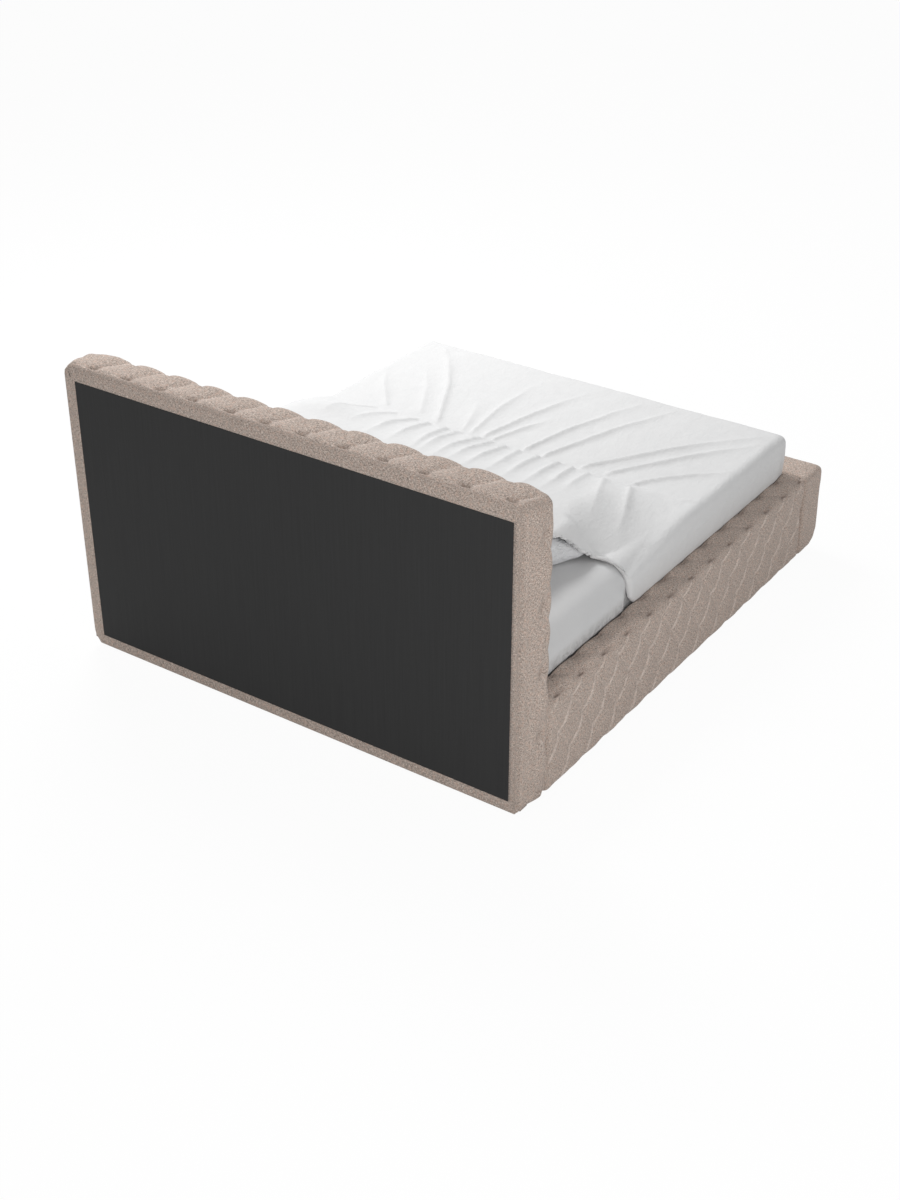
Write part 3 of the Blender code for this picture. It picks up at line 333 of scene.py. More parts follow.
# where brackets and the beam hanger are bolted on: from and to in x, from and to above the covers' foot
fittingPockets = [(-0.915, -0.815, -0.01, 0.26), (0.815, 0.915, -0.01, 0.26), (-0.072, 0.072, -0.01, 0.335)]


def ease(value, start, end):
    share = np.clip((value - start) / (end - start), 0, 1)
    return share * share * (3 - 2 * share)


def fade(value, start, end):
    return 1 - ease(value, start, end)


def between(value, start, full, less, end):
    return ease(value, start, full) * fade(value, less, end)


def safe(value):
    # a divisor that is never zero
    return np.where(value > 0, value, 1)


def softNoise(points, size, seed):
    # smooth value noise from -1 to 1 on a lattice of that size; the seed fixes it
    table = np.random.default_rng(seed).uniform(-1, 1, (16, 16, 16))
    scaled = np.asarray(points, float) / size
    cell = np.floor(scaled).astype(int)
    part = scaled - cell
    part = part * part * (3 - 2 * part)
    total = np.zeros(len(scaled))
    for step in np.ndindex(2, 2, 2):
        total += np.where(step, part, 1 - part).prod(1) * table[tuple(((cell + step) % 16).T)]
    return total


# Diamond tufting. column counts half pitches and row counts rows: a tuft sits where their sum is even.

tufting = {"perRow": 14, "gatherReach": 0.034, "gatherHeight": 0.001, "gatherCount": 7,
           "gatherTurn": (1.7, 2.3), "dimpleCore": 0.008, "lean": 0.72, "hollowReach": (0.042, 0.021)}


def tuftSink(column, row, look):
    # how far the cover is drawn in, and its dimples, puffs and wide hollows from 0 to 1; the dimples and
    # hollows also mark where painted shade goes in the cover's colour
    half = (column + row) / 2
    other = (column - row) / 2
    upper = np.ceil(half) - half
    along = abs(other - np.round(other))
    puff = np.sin(np.pi * upper ** tufting["lean"]) * np.sin(np.pi * along)
    puff = np.clip(puff, 0, 1) ** look["puffPower"]
    nearColumn = np.round(half) + np.round(other)
    nearRow = np.round(half) - np.round(other)
    x = (column - nearColumn) * look["columnPitch"]
    y = (row - nearRow) * look["rowPitch"]
    reach = np.hypot(x, y)
    dimple = np.exp(-(reach / look["dimpleReach"]) ** 2)
    ring = np.exp(-(reach / tufting["gatherReach"]) ** 2) - np.exp(-(reach / tufting["dimpleCore"]) ** 2)
    turnColumn, turnRow = tufting["gatherTurn"]
    turn = tufting["gatherCount"] * np.arctan2(y, x) + turnColumn * nearColumn + turnRow * nearRow
    sink = look["pleat"] * (1 - puff) + (look["tuft"] - look["pleat"]) * dimple
    wide, tall = tufting["hollowReach"]
    shadedHollow = np.exp(-(x / wide) ** 2 - (y / tall) ** 2)
    return sink + tufting["gatherHeight"] * (np.cos(turn) * ring), dimple, puff, shadedHollow


def roundSlab(slab, look, count=None):
    # moves the points of a box's surface to a box with rounded corners and edges, and gives normals;
    # the edges' radii are the front one and the back ones at the sides, above and below
    x, z, d = slab.points()[:count].T
    width, height, depth = slab.size
    zone, power = look["corner"]
    frontEdge, backSide, backTop, backLow = look["edges"]
    middleX = np.clip(x, zone - width / 2, width / 2 - zone)
    middleZ = np.clip(z, zone, height - zone)
    awayX, awayZ = x - middleX, z - middleZ
    reach = np.maximum(abs(awayX), abs(awayZ))
    length = safe((abs(awayX) ** power + abs(awayZ) ** power) ** (1 / power))
    awayX, awayZ = awayX / length, awayZ / length
    normalX = np.sign(awayX) * abs(awayX) ** (power - 1)
    normalZ = np.sign(awayZ) * abs(awayZ) ** (power - 1)
    scale = safe(np.hypot(normalX, normalZ))
    normalX, normalZ = normalX / scale, normalZ / scale
    front = d < depth / 2
    backZ = np.where(normalZ > 0, backTop, backLow)
    edge = np.where(front, frontEdge, backZ + (backSide - backZ) * normalX ** 2)
    inward = np.minimum(zone - reach, edge)
    deep = np.minimum(np.where(front, d, depth - d), edge)
    sideways, upright = edge - inward, edge - deep
    bent = np.hypot(sideways, upright)
    scale = np.where(bent > 0, np.maximum(sideways, upright) / safe(bent), 1)
    sideways, upright = sideways * scale, upright * scale
    moved = edge - sideways - inward
    total = safe(np.hypot(sideways, upright))
    normals = np.stack([normalX * sideways / total, normalZ * sideways / total,
                        np.where(front, -upright, upright) / total], 1)
    flat = (sideways == 0) & (upright == 0)
    normals[flat] = np.stack([normalX, normalZ, np.zeros_like(normalX)], 1)[flat]
    newD = np.where(deep < edge, np.where(front, edge - upright, depth - edge + upright), d)
    points = [middleX + awayX * reach - normalX * moved, middleZ + awayZ * reach - normalZ * moved, newD]
    return np.stack(points, 1), normals


def gridQuads(index, turned=False):
    # the quads of a grid of point numbers; turned, they face the other way
    quads = np.stack([index[:-1, :-1], index[1:, :-1], index[1:, 1:], index[:-1, 1:]], -1).reshape(-1, 4)
    return (quads[:, [0, 3, 2, 1]] if turned else quads).tolist()


class Slab:
    # a padded box on a grid: a front face, a band round it and loops on its back, each point with its
    # place on the flat cover, so that tufts, creases and weave follow the cloth; side is 0 in front,
    # 1 to 4 for below, right, top and left, and 5 behind
    def __init__(self, xLines, zLines, dLines, size):
        self.size = size
        gridX, gridZ = np.meshgrid(xLines, zLines, indexing="ij")
        self.shape = columns, rows = gridX.shape
        self.gridX, self.gridZ = self.x, self.z = gridX.ravel(), gridZ.ravel()
        index = np.arange(gridX.size).reshape(self.shape)
        self.d = self.extra = np.zeros(index.size)
        self.side = np.zeros(index.size, int)
        self.last = self.rim = np.concatenate(
            [index[:-1, 0], index[-1, :-1], index[:0:-1, -1], index[0, :0:-1]])
        self.rimSide = np.repeat([1, 2, 3, 4], [columns - 1, rows - 1, columns - 1, rows - 1])
        self.faces = gridQuads(index)
        self.faceSide = [0] * len(self.faces)
        for depth in dLines[1:]:
            self.addRim(self.gridX[self.rim], self.gridZ[self.rim], depth, 0.0)

    def addPoints(self, x, z, depth, side, extra):
        new = {"x": x, "z": z, "d": depth, "side": side, "extra": extra}
        for key, values in new.items():
            setattr(self, key, np.concatenate([getattr(self, key), np.broadcast_to(values, len(x))]))

    def addRim(self, x, z, depth, extra):
        # one more loop of points, and the faces between it and the loop before
        new = len(self.x) + np.arange(len(self.rim))
        self.addPoints(x, z, depth, self.rimSide, extra)
        quads = np.stack([self.last, np.roll(self.last, -1), np.roll(new, -1), new], 1)
        self.faces += quads.tolist()
        self.faceSide += self.rimSide.tolist()
        self.last = new

    def addLoop(self, insets, depth, deeper=0.0):
        # a loop whose sides are moved in from the box by (left, right, low, high)
        width, height, _ = self.size
        left, right, low, high = insets
        x = -width / 2 + left + (self.gridX[self.rim] + width / 2) * (width - left - right) / width
        z = low + self.gridZ[self.rim] * (height - low - high) / height
        self.addRim(x, z, depth, np.array([0, low, right, high, left])[self.rimSide] + deeper)

    def openBack(self, look):
        # the edge of the lining, where the cover is wrapped round, and the room for the timber inside
        count = len(self.x)
        wrap, gap, depth = look["wrap"], bed["fitGap"], self.size[2]
        lining = [side - gap for side in look["lining"]]
        self.addLoop(lining, depth)
        self.addLoop(lining, depth - wrap + gap, wrap)
        self.addLoop(look["room"], depth - wrap + gap, 0.1)
        self.addLoop(look["room"], depth - wrap - look["roomDepth"], 0.15)
        self.faces.append(self.last[::-1].tolist())
        self.faceSide.append(0)
        return count

    def closeBack(self):
        # a back face on the same grid as the front
        inner = np.ones(len(self.gridX), bool)
        inner[self.rim] = False
        index = np.empty(len(inner), int)
        index[inner] = len(self.x) + np.arange(inner.sum())
        index[self.rim] = self.last
        self.addPoints(self.gridX[inner], self.gridZ[inner], self.size[2], 5, 0.0)
        quads = gridQuads(index.reshape(self.shape), True)
        self.faces += quads
        self.faceSide += [5] * len(quads)

    def points(self):
        return np.stack([self.x, self.z, self.d], 1)

    def cloth(self, at=slice(None), side=None):
        # the place on the flat cover: the front as it is, each side folded out beside it
        width, height, _ = self.size
        side = self.side if side is None else side
        out = (self.d + self.extra)[at]
        u = np.where(side == 2, width / 2 + out, np.where(side == 4, -width / 2 - out, self.x[at]))
        v = np.where(side == 3, height + out, np.where(side == 1, -out, self.z[at]))
        return u, v


def meshPiece(name, points, faces, finish, layers=None, marks=None, closed=True):
    mesh = bpy.data.meshes.new(name)
    mesh.from_pydata([tuple(p) for p in points], [], faces)
    for key, values in (marks or {}).items():
        layer = mesh.attributes.new(key, 'FLOAT', 'POINT')
        layer.data.foreach_set("value", np.asarray(values, np.float32))
    for key, values in (layers or {}).items():
        layer = mesh.uv_layers.new(name=key)
        layer.data.foreach_set("uv", np.asarray(values, np.float32).ravel())
    bm = bmesh.new()
    bm.from_mesh(mesh)
    bmesh.ops.recalc_face_normals(bm, faces=bm.faces)
    outward = bm.calc_volume(signed=True) if closed else sum(face.normal.z for face in bm.faces)
    if outward < 0:
        bmesh.ops.reverse_faces(bm, faces=bm.faces)
    bm.to_mesh(mesh)
    bm.free()
    mesh.materials.append(finish)
    mesh.shade_smooth()
    piece = bpy.data.objects.new(name, mesh)
    bpy.context.scene.collection.objects.link(piece)
    return piece


def creasedFaces(slab, column, row):
    # quads that a pleat crosses are split along it, so that the crease stays sharp
    pleats = [(column + row) / 2, (column - row) / 2]
    onPleat = [abs(places - np.round(places)) < 0.004 for places in pleats]

    def creased(a, b):
        return any(on[a] and on[b] and abs(places[a] - places[b]) < 0.01
                   for on, places in zip(onPleat, pleats))

    faces, sides = [], []
    for face, side in zip(slab.faces, slab.faceSide):
        parts = [face]
        if len(face) == 4:
            a, b, c, d = face
            if creased(a, c):
                parts = [(a, b, c), (a, c, d)]
            elif creased(b, d):
                parts = [(a, b, d), (b, c, d)]
        faces += parts
        sides += [side] * len(parts)
    return faces, sides


def slabLayers(slab, faces, sides, columnAt=None, rowAt=None):
    # each face's own side decides where its corners lie on the flat cover, and on its lattice of pleats
    u, v = slab.cloth(np.concatenate(faces), np.repeat(sides, [len(face) for face in faces]))
    layers = {"cloth": np.stack([u, v], 1)}
    if columnAt:
        column, row = np.interp(u, *columnAt), np.interp(v, *rowAt)
        layers["pleats"] = np.stack([(column + row) / 2, (column - row) / 2], 1)
    return layers


def coverPiece(name, slab, world, column, row, columnAt, rowAt, marks):
    faces, sides = creasedFaces(slab, column, row)
    layers = slabLayers(slab, faces, sides, columnAt, rowAt)
    return meshPiece(name, world, faces, coverFinish, layers, marks)


def latticeLines(start, end, first, pitch):
    # lines a share of a pitch apart, counted from the first tuft, with the two ends
    step = pitch / tufting["perRow"]
    low = math.ceil((start - first) / step + 0.4)
    high = math.floor((end - first) / step - 0.4)
    return np.concatenate([[start], first + step * np.arange(low, high + 1), [end]])


def rowLines(places, rows, start, end):
    # the same for rows that aren't evenly spaced: places of whole rows are given
    perRow = tufting["perRow"]
    low = math.ceil(np.interp(start, places, rows) * perRow + 0.4)
    high = math.floor(np.interp(end, places, rows) * perRow - 0.4)
    return np.concatenate([[start], np.interp(np.arange(low, high + 1) / perRow, rows, places), [end]])


def runLines(places, counts):
    # evenly spaced lines from each place to the next
    runs = [np.linspace(*ends, count + 1)[1:] for *ends, count in zip(places, places[1:], counts)]
    return np.concatenate([places[:1], *runs])


def evenLines(start, end, step):
    return np.linspace(start, end, round((end - start) / step) + 1)


def pressPockets(points, front, floor):
    # the padding is left out where fittings are bolted on: points there lie back on the bolting face
    x, z, d = points.T
    for lowX, highX, lowZ, highZ in fittingPockets:
        d[(x > lowX) & (x < highX) & (z > lowZ) & (z < highZ) & front] = floor


# Headboard cover

headboard = {
    "size": (2.04, 1.175, 0.145), "columnPitch": 0.08, "rowPitch": 0.1275, "edgeRow": 0.007, "topRow": 0.121,
    "edges": (0.03, 0.008, 0.029, 0.008), "corner": (0.05, 2.15), "lip": [0.003, 0.006, 0.01, 0.015],
    "lining": (0.08, 0.08, 0.035, 0.064), "room": (0.033, 0.033, 0.012, 0.031), "roomDepth": 0.042,
    "wrap": 0.003, "boltingDepth": 0.09, "pleat": 0.013, "tuft": 0.031, "puffPower": 0.8,
    "dimpleReach": 0.02, "proud": 0.003, "unevenness": 0.0014, "slim": 0.006, "taper": 0.0275,
    "sideZone": (0.955, 1.0), "sag": 0.012, "crown": 0.004, "forward": 0.01, "lean": 0.026,
    "cornerDrop": 0.007, "stileFace": 0.988, "stileSpan": (0.0113, 1.1447), "pocketFoot": 0.008,
    "topEnd": (1.0, 1.12), "plainEnd": (0.86, 0.92), "sideEnd": (0.032, 0.1), "cornerZone": (0.9, 1.0),
    "innerZone": (0.88, 1.0), "backZone": (0.11, 0.13), "sagZone": (0.121, 0.138),
    "stileZone": (0.085, 0.097),
    "tuftPlaces": [-1.23, -1.0727, -0.9177, -0.7421, -0.5792, -0.4194, -0.2565, -0.0868, 0.0763,
                   0.2263, 0.394, 0.5493, 0.7057, 0.8725, 1.0325, 1.195]}


def makeHeadboard(look):
    width, height, depth = look["size"]
    pitch, top, back = look["rowPitch"], look["topRow"], look["edges"][2]
    below = 0.3
    firstRow = height - look["edgeRow"] - pitch
    lowest = -1 - firstRow / pitch
    rowAt = ([-below, 0, firstRow, height, height + top, height + 2 * top],
             [lowest - below / pitch, lowest, -1, 0, 1, 2])
    columnAt = (look["tuftPlaces"], np.arange(-15, 17, 2))
    dLines = rowLines(*rowAt, height, height + depth) - height
    dLines = np.concatenate([dLines[dLines < top + 0.001], top + np.array(look["lip"]),
                             depth - back * np.array([0.45, 0.25, 0.12, 0])])
    slab = Slab(rowLines(*columnAt, -width / 2, width / 2), rowLines(*rowAt, 0, height), np.sort(dLines),
                look["size"])
    for share in (0.15, 0.3, 0.5, 0.75, 1.0):
        slab.addLoop((back * share,) * 4, depth)
    for share in (0.25, 0.5, 0.75):
        slab.addLoop([back + (side - back) * share for side in look["lining"]], depth)
    count = slab.openBack(look)
    u, v = slab.cloth()
    wide = abs(u)
    column, row = np.interp(u, *columnAt), np.interp(v, *rowAt)
    sink, dimple, puff, _ = tuftSink(column, row, look)
    onTop = slab.side == 3
    atSide = np.isin(slab.side, (2, 4))
    keep = np.where(onTop, fade(row, *look["topEnd"]) * fade(wide, *look["sideZone"]), 1.0)
    keep = keep * (1 - np.exp(-(row / 0.5) ** 2) * (0.5 + 0.5 * ease(wide, *look["plainEnd"])))
    keep = np.where(atSide, fade(wide, *(width / 2 + end for end in look["sideEnd"])), keep)
    keep = np.where(slab.side == 1, fade(-v, 0.0, 0.04), keep)
    sink = sink * keep - look["proud"] * puff * np.exp(-(row / 0.8) ** 2) * keep
    points, normals = roundSlab(slab, look, count)
    x, z, d = points.T
    uneven = softNoise(points, 0.07, 3) + 0.6 * softNoise(points, 0.03, 4)
    amount = sink[:count] + look["unevenness"] * uneven * fade(d, *look["backZone"])
    points -= normals * amount[:, None]
    drawnIn = look["slim"] + (look["taper"] - look["slim"]) * ease(d, 0.02, depth - 0.01)
    x -= np.sign(x) * drawnIn * ease(abs(x), *look["sideZone"])
    # the front of the top is full and leans over; the corners beside it fall away
    inner = fade(abs(x), *look["innerZone"])
    high = ease(z, height - 0.06, height - 0.01) * fade(d, 0.1, 0.14)
    frontTop = ease(z, height - 0.17, height - 0.05) * fade(d, 0.03, 0.09)
    x -= look["lean"] * (0.7 + 0.3 * x) * inner * (1 - np.clip(row[:count], 0, 1)) * (
        ease(z, height - 0.3, height - 0.1))
    z += look["crown"] * high * inner
    d -= look["forward"] * frontTop * inner
    z[:] = np.maximum(z, 0)
    z -= look["sag"] * fade(z, 0.0, 0.032) * ease(d, *look["sagZone"])
    upper = ease(z, height - 0.12, height - 0.01)
    corner = ease(abs(x), *look["cornerZone"]) * upper * fade(d, 0.05, 0.095)
    z -= look["cornerDrop"] * corner
    x -= np.sign(x) * 0.6 * look["cornerDrop"] * corner
    # it stays clear of the timber stiles inside
    low, up = look["stileSpan"]
    beside = atSide[:count] & (slab.d[:count] < depth - 0.0001) & (z > low) & (z < up)
    lack = np.clip(look["stileFace"] - abs(x), 0, None) * ease(d, *look["stileZone"])
    x += np.sign(x) * lack * beside
    points = np.concatenate([points, slab.points()[count:]])
    x, z, d = points.T
    pressPockets(points, slab.side == 0, look["boltingDepth"] + 0.001)
    z[(slab.side == 0) & (d > look["boltingDepth"]) & (z < 0.03) & (abs(x) > 0.8)] = look["pocketFoot"]
    world = np.stack([x, bed["headFront"] + d, bed["floorGap"] + z], 1)
    # marks for the cover's colour: fold lips drawn paler (wear and painted highlight), and painted shade in the
    # dimples
    marks = {"foldHalf": keep * np.where(onTop, 0.0, 0.8), "foldOther": keep * np.where(onTop, 1.0, 0.5),
             "dimple": dimple * keep}
    return coverPiece("headboardCover", slab, world, column, row, columnAt, rowAt, marks)


# Side rail covers

rail = {
    "size": (2.0144, 0.377, 0.1065), "firstTuft": 0.021, "columnPitch": 0.079736, "rowPitch": 0.1,
    "rowAt": ([-0.1065, 0.0, 0.109, 0.214, 0.319, 0.393, 0.4835, 0.56], [-1, 0, 1, 2, 3, 4, 5, 6]),
    "edges": (0.03, 0.009, 0.009, 0.009), "corner": (0.031, 4.0), "unevenness": 0.0014,
    "lining": (0.042, 0.042, 0.042, 0.061), "room": (0.012, 0.012, 0.012, 0.031), "roomDepth": 0.042,
    "wrap": 0.003, "pleat": 0.0052, "tuft": 0.0115, "puffPower": 0.8, "dimpleReach": 0.015,
    "hollowDepth": 0.0055, "hollowRows": (3.3, 3.8, 5.1, 5.4), "dimpleRows": (3.4, 3.9, 4.8, 5.3),
    "lowRows": (0.1, 0.9), "topEnd": (4.9, 5.2), "linesEnd": (3.3, 4.2), "backZone": (0.08, 0.1)}


def makeRail(name, side, look):
    length, height, depth = look["size"]
    rowAt, pitch, inner = look["rowAt"], look["columnPitch"], look["edges"][1]
    first = -length / 2 + look["firstTuft"]
    dLines = rowLines(*rowAt, height, height + depth) - height
    dLines = np.concatenate([dLines[dLines < depth - inner], depth - inner * np.array([1, 0.66, 0.33, 0])])
    slab = Slab(latticeLines(-length / 2, length / 2, first, pitch), rowLines(*rowAt, 0, height), dLines,
                look["size"])
    for share in (0.33, 0.66, 1.0, 1.6):
        slab.addLoop((inner * share,) * 4, depth)
    count = slab.openBack(look)
    u, v = slab.cloth()
    column, row = (u - first) / pitch, np.interp(v, *rowAt)
    sink, dimple, _, shadedHollow = tuftSink(column, row, look)
    onTop = slab.side == 3
    shadedHollow = shadedHollow * between(row, *look["hollowRows"])
    upper = look["tuft"] * 0.5 * dimple * between(row, *look["dimpleRows"])
    sink = sink * (0.25 + 0.75 * ease(row, *look["lowRows"])) + (upper + look["hollowDepth"] * shadedHollow)
    keep = np.where(onTop, fade(row, *look["topEnd"]), 1.0)
    keep = np.where(np.isin(slab.side, (2, 4)), fade(abs(u), length / 2, length / 2 + 0.02), keep)
    keep = np.where(slab.side == 1, fade(-v, 0.0, 0.03), keep)
    sink = sink * keep + look["tuft"] * 0.5 * dimple * (1 - keep) * onTop * (row < 5.6)
    points, normals = roundSlab(slab, look, count)
    uneven = softNoise(points + side * 5.0, 0.06, 11) + 0.6 * softNoise(points + side * 3.0, 0.028, 12)
    amount = sink[:count] + look["unevenness"] * (1 + uneven) * fade(points[:, 2], *look["backZone"])
    points -= normals * amount[:, None]
    points[:, 0] = np.clip(points[:, 0], -length / 2, length / 2)
    x, z, d = np.concatenate([points, slab.points()[count:]]).T
    world = np.stack([side * (bed["overHalf"] - d), bed["middleY"] + x, bed["floorGap"] + z], 1)
    # marks for the cover's colour: fold lips drawn paler (wear and painted highlight) fade out on the top;
    # painted shade goes in the dimples and the wide hollows near the top
    lines = keep * fade(row, *look["linesEnd"])
    marks = {"foldHalf": lines, "foldOther": 0.2 * lines,
             "dimple": np.maximum(0.2 * dimple * keep, 0.85 * shadedHollow)}
    columnAt = ([first - 2 * pitch, first, first + 40 * pitch], [-2, 0, 40])
    return coverPiece(name, slab, world, column, row, columnAt, rowAt, marks)


# Footboard cover: tufted on its foot face only, plain and full on top and at its ends

footboard = {
    "size": (2.013, 0.377, 0.167), "columnPitch": 0.08, "rowPitch": 0.1, "plainAbove": (0.325, 0.352),
    "edges": (0.02, 0.02, 0.02, 0.02), "corner": (0.034, 2.6), "unevenness": 0.0018,
    "slotHalf": 0.9735, "slot": (0.0625, 0.1045), "slotTop": 0.346, "boltingDepth": 0.1145,
    "crown": 0.009, "lowCorner": 0.026, "lowReach": 0.08, "lowZone": (0.9, 0.985), "pleat": 0.0052,
    "tuft": 0.0115, "puffPower": 0.8, "dimpleReach": 0.015}


def makeFootboard(look):
    width, height, depth = look["size"]
    rowAt, pitch = rail["rowAt"], look["columnPitch"]
    slab = Slab(latticeLines(-width / 2, width / 2, 0.0, pitch), rowLines(*rowAt, 0, height),
                runLines([0, *look["slot"], depth], [9, 5, 9]), look["size"])
    slab.closeBack()
    u, v = slab.cloth()
    column, row = u / pitch, np.interp(v, *rowAt)
    sink, dimple, _, _ = tuftSink(column, row, look)
    keep = fade(v, *look["plainAbove"]) * fade(abs(u), width / 2 - 0.03, width / 2)
    keep = np.where(slab.side == 1, keep * fade(-v, 0.0, 0.03), keep) * (slab.side != 5)
    points, normals = roundSlab(slab, look)
    uneven = softNoise(points, 0.11, 21) + 0.5 * softNoise(points, 0.045, 22)
    points -= normals * (sink * keep + look["unevenness"] * (1 + uneven))[:, None]
    x, z, d = points.T
    beside = np.clip(abs(d / depth * 2 - 1), 0, 1) ** 2
    atEnd = ease(abs(x), width / 2 - 0.1, width / 2) ** 2
    z -= look["crown"] * np.maximum(beside, 0.8 * atEnd) * ease(z, 0.2, height)
    low = np.clip((look["lowReach"] - z) / look["lowReach"], 0, 1) * np.clip(1 - d / look["slot"][0], 0, 1)
    low = low * ease(abs(x), *look["lowZone"])
    z += look["lowCorner"] * low
    d += look["lowCorner"] * low
    pressPockets(points, slab.side == 5, look["boltingDepth"] - 0.001)
    world = np.stack([x, bed["footOuter"] + d, bed["floorGap"] + z], 1)
    # marks for the cover's colour: fold lips drawn paler (wear and painted highlight), and painted shade in the
    # dimples
    marks = {"foldHalf": keep, "foldOther": 0.25 * keep, "dimple": dimple * keep}
    columnAt = ([-width, width], [-width / pitch, width / pitch])
    piece = coverPiece("footboardCover", slab, world, column, row, columnAt, rowAt, marks)
    openSlot(piece, look)
    return piece


def openSlot(piece, look):
    # the slot from below that the board stands in
    bm = bmesh.new()
    bm.from_mesh(piece.data)
    front, back = (bed["footOuter"] + place for place in look["slot"])
    under = []
    for face in bm.faces:
        x, y, z = face.calc_center_median()
        if (face.normal.z < -0.7 and z < bed["floorGap"] + 0.02 and front < y < back
                and abs(x) < look["slotHalf"] + 0.003):
            under.append(face)
    bmesh.ops.delete(bm, geom=under, context='FACES')
    rim = [edge for edge in bm.edges if edge.is_boundary]
    for item in bmesh.ops.extrude_edge_only(bm, edges=rim)["geom"]:
        if isinstance(item, bmesh.types.BMVert):
            item.co.z = bed["floorGap"] + look["slotTop"]
    bmesh.ops.holes_fill(bm, edges=[edge for edge in bm.edges if edge.is_boundary], sides=0)
    bmesh.ops.recalc_face_normals(bm, faces=bm.faces)
    bm.to_mesh(piece.data)
    bm.free()


# Mattress in its fitted sheet

mattress = {
    "halfWidth": 0.8874, "foot": -0.9839, "head": 1.0182, "height": 0.23, "edges": (0.082, 0.03, 0.03, 0.03),
    "corner": (0.09, 2.2), "step": 0.0098, "crown": 0.0035, "swell": 0.026, "gatherZone": (0.075, 0.14),
    "gatherDepth": 0.0038, "gatherPitch": 0.03, "softness": 0.0016, "freeFrom": (0.31, 0.37),
    "shoulder": (0.82, 0.875), "swellFrom": (-0.52, -0.45)}


def railEdge(z):
    # how far out bedding may lie at this height without touching the rounded inner edge of a rail
    edge = rail["edges"][1]
    top = bed["floorGap"] + rail["size"][1]
    below = np.clip(top - z, 0, edge)
    clearance = 0.0014
    rounded = bed["insideHalf"] + edge - np.sqrt(edge ** 2 - (edge - below) ** 2) - clearance
    return rounded + 0.003 * ease(z, top + 0.001, top + 0.005) - ease(-z, -0.393, -0.37) * 0.012


def makeMattress(look):
    width = 2 * look["halfWidth"]
    length = look["head"] - look["foot"]
    step, height = look["step"], look["height"]
    slab = Slab(evenLines(-width / 2, width / 2, step), evenLines(0, length, step),
                evenLines(0, height, step), (width, length, height))
    slab.closeBack()
    points, normals = roundSlab(slab, look)
    u, v = slab.cloth()
    around = np.where(np.isin(slab.side, (2, 4)), v, u)
    wander = softNoise(np.stack([around * 3, slab.d * 0 + slab.side, around * 0], 1), 0.35, 31)
    slant = slab.d * (0.9 + wander)
    ripple = np.cos(2 * np.pi * (around + slant + 0.02 * wander) / look["gatherPitch"])
    patch = 0.5 + 0.5 * softNoise(np.stack([around, slab.side * 0.7, around * 0], 1), 0.16, 32)
    onBand = (slab.side > 0) & (slab.side < 5)
    gather = ease(slab.d, *look["gatherZone"]) * onBand * patch * (0.5 - 0.5 * ripple)
    soft = 1 + softNoise(points, 0.22, 33)
    amount = look["gatherDepth"] * gather + look["softness"] * soft * (slab.side != 5)
    points -= normals * amount[:, None]
    x, z, d = points.T
    across, along = np.cos(np.pi * x / width), np.cos(np.pi * (z - length / 2) / length)
    d += np.where(slab.side == 0, look["crown"] * (1 - np.sqrt(np.clip(across * along, 0, 1))),
                  look["crown"] * fade(slab.d, 0.0, 0.05))
    x, y, z = world = np.stack([x, look["foot"] + z, bed["mattressTop"] - d])
    # beyond the duvet it swells out over the rounded edge of the rail
    free = ease(y, *look["freeFrom"]) * ease(abs(x), *look["shoulder"])
    wide = np.minimum(look["swell"] * ease(-z, *look["swellFrom"]), railEdge(z) - look["halfWidth"])
    x += np.sign(x) * free * wide
    layers = slabLayers(slab, slab.faces, slab.faceSide)
    return meshPiece("sheetedMattress", world.T, slab.faces, sheetFinish, layers)


# Pillows: two flat pieces of cotton, sewn at the edge and blown up by a cloth simulation

pillow = {
    "width": 0.74, "depth": 0.66, "thickness": 0.13, "seamRise": 0.036, "middleGap": 0.02, "headGap": 0.02,
    "waist": 0.075, "step": 0.0145, "frames": 22, "cap": 0.05, "droop": 0.018, "earReach": 0.016,
    "cloth": {"quality": 6, "mass": 0.25, "tension_stiffness": 28, "compression_stiffness": 12,
              "shear_stiffness": 10, "bending_stiffness": 0.35, "use_pressure": True,
              "uniform_pressure_force": 3.6, "shrink_min": -0.05}}


def pillowMesh(look):
    columns, rows = (round(look[side] / look["step"]) for side in ("width", "depth"))
    across, along = np.meshgrid(np.linspace(-1, 1, columns + 1), np.linspace(-1, 1, rows + 1), indexing="ij")
    x = across * (look["width"] / 2 - look["waist"] * 0.55 * (1 - along ** 2))
    y = along * (look["depth"] / 2 - look["waist"] * 0.55 * (1 - across ** 2))
    full = np.sqrt(np.clip((1 - across ** 4) * (1 - along ** 4), 0, 1))
    top, low = (np.stack([x, y, rise * full], -1).reshape(-1, 3)
                for rise in ((look["thickness"] - look["seamRise"]) * 0.72, -look["seamRise"] * 0.8))
    index = np.arange(len(top)).reshape(x.shape)
    inner = np.zeros(x.shape, bool)
    inner[1:-1, 1:-1] = True
    under = index.copy()
    under[inner] = len(top) + np.arange(inner.sum())
    faces = [face for pair in zip(gridQuads(index), gridQuads(under, True)) for face in pair]
    return np.concatenate([top, low[inner.ravel()]]), faces


def blowUp(piece, look):
    # the sewn case fills under pressure, without gravity, and the result stays in the mesh
    scene = bpy.context.scene
    cloth = piece.modifiers.new("filling", 'CLOTH')
    for key, value in look["cloth"].items():
        setattr(cloth.settings, key, value)
    cloth.settings.effector_weights.gravity = 0
    cloth.point_cache.frame_start = 1
    cloth.point_cache.frame_end = look["frames"]
    for number in range(1, look["frames"] + 1):
        scene.frame_set(number)
    bpy.context.view_layer.update()
    settled = piece.evaluated_get(bpy.context.evaluated_depsgraph_get())
    points = np.array([vert.co for vert in settled.data.vertices])
    piece.modifiers.remove(cloth)
    scene.frame_set(1)
    return points


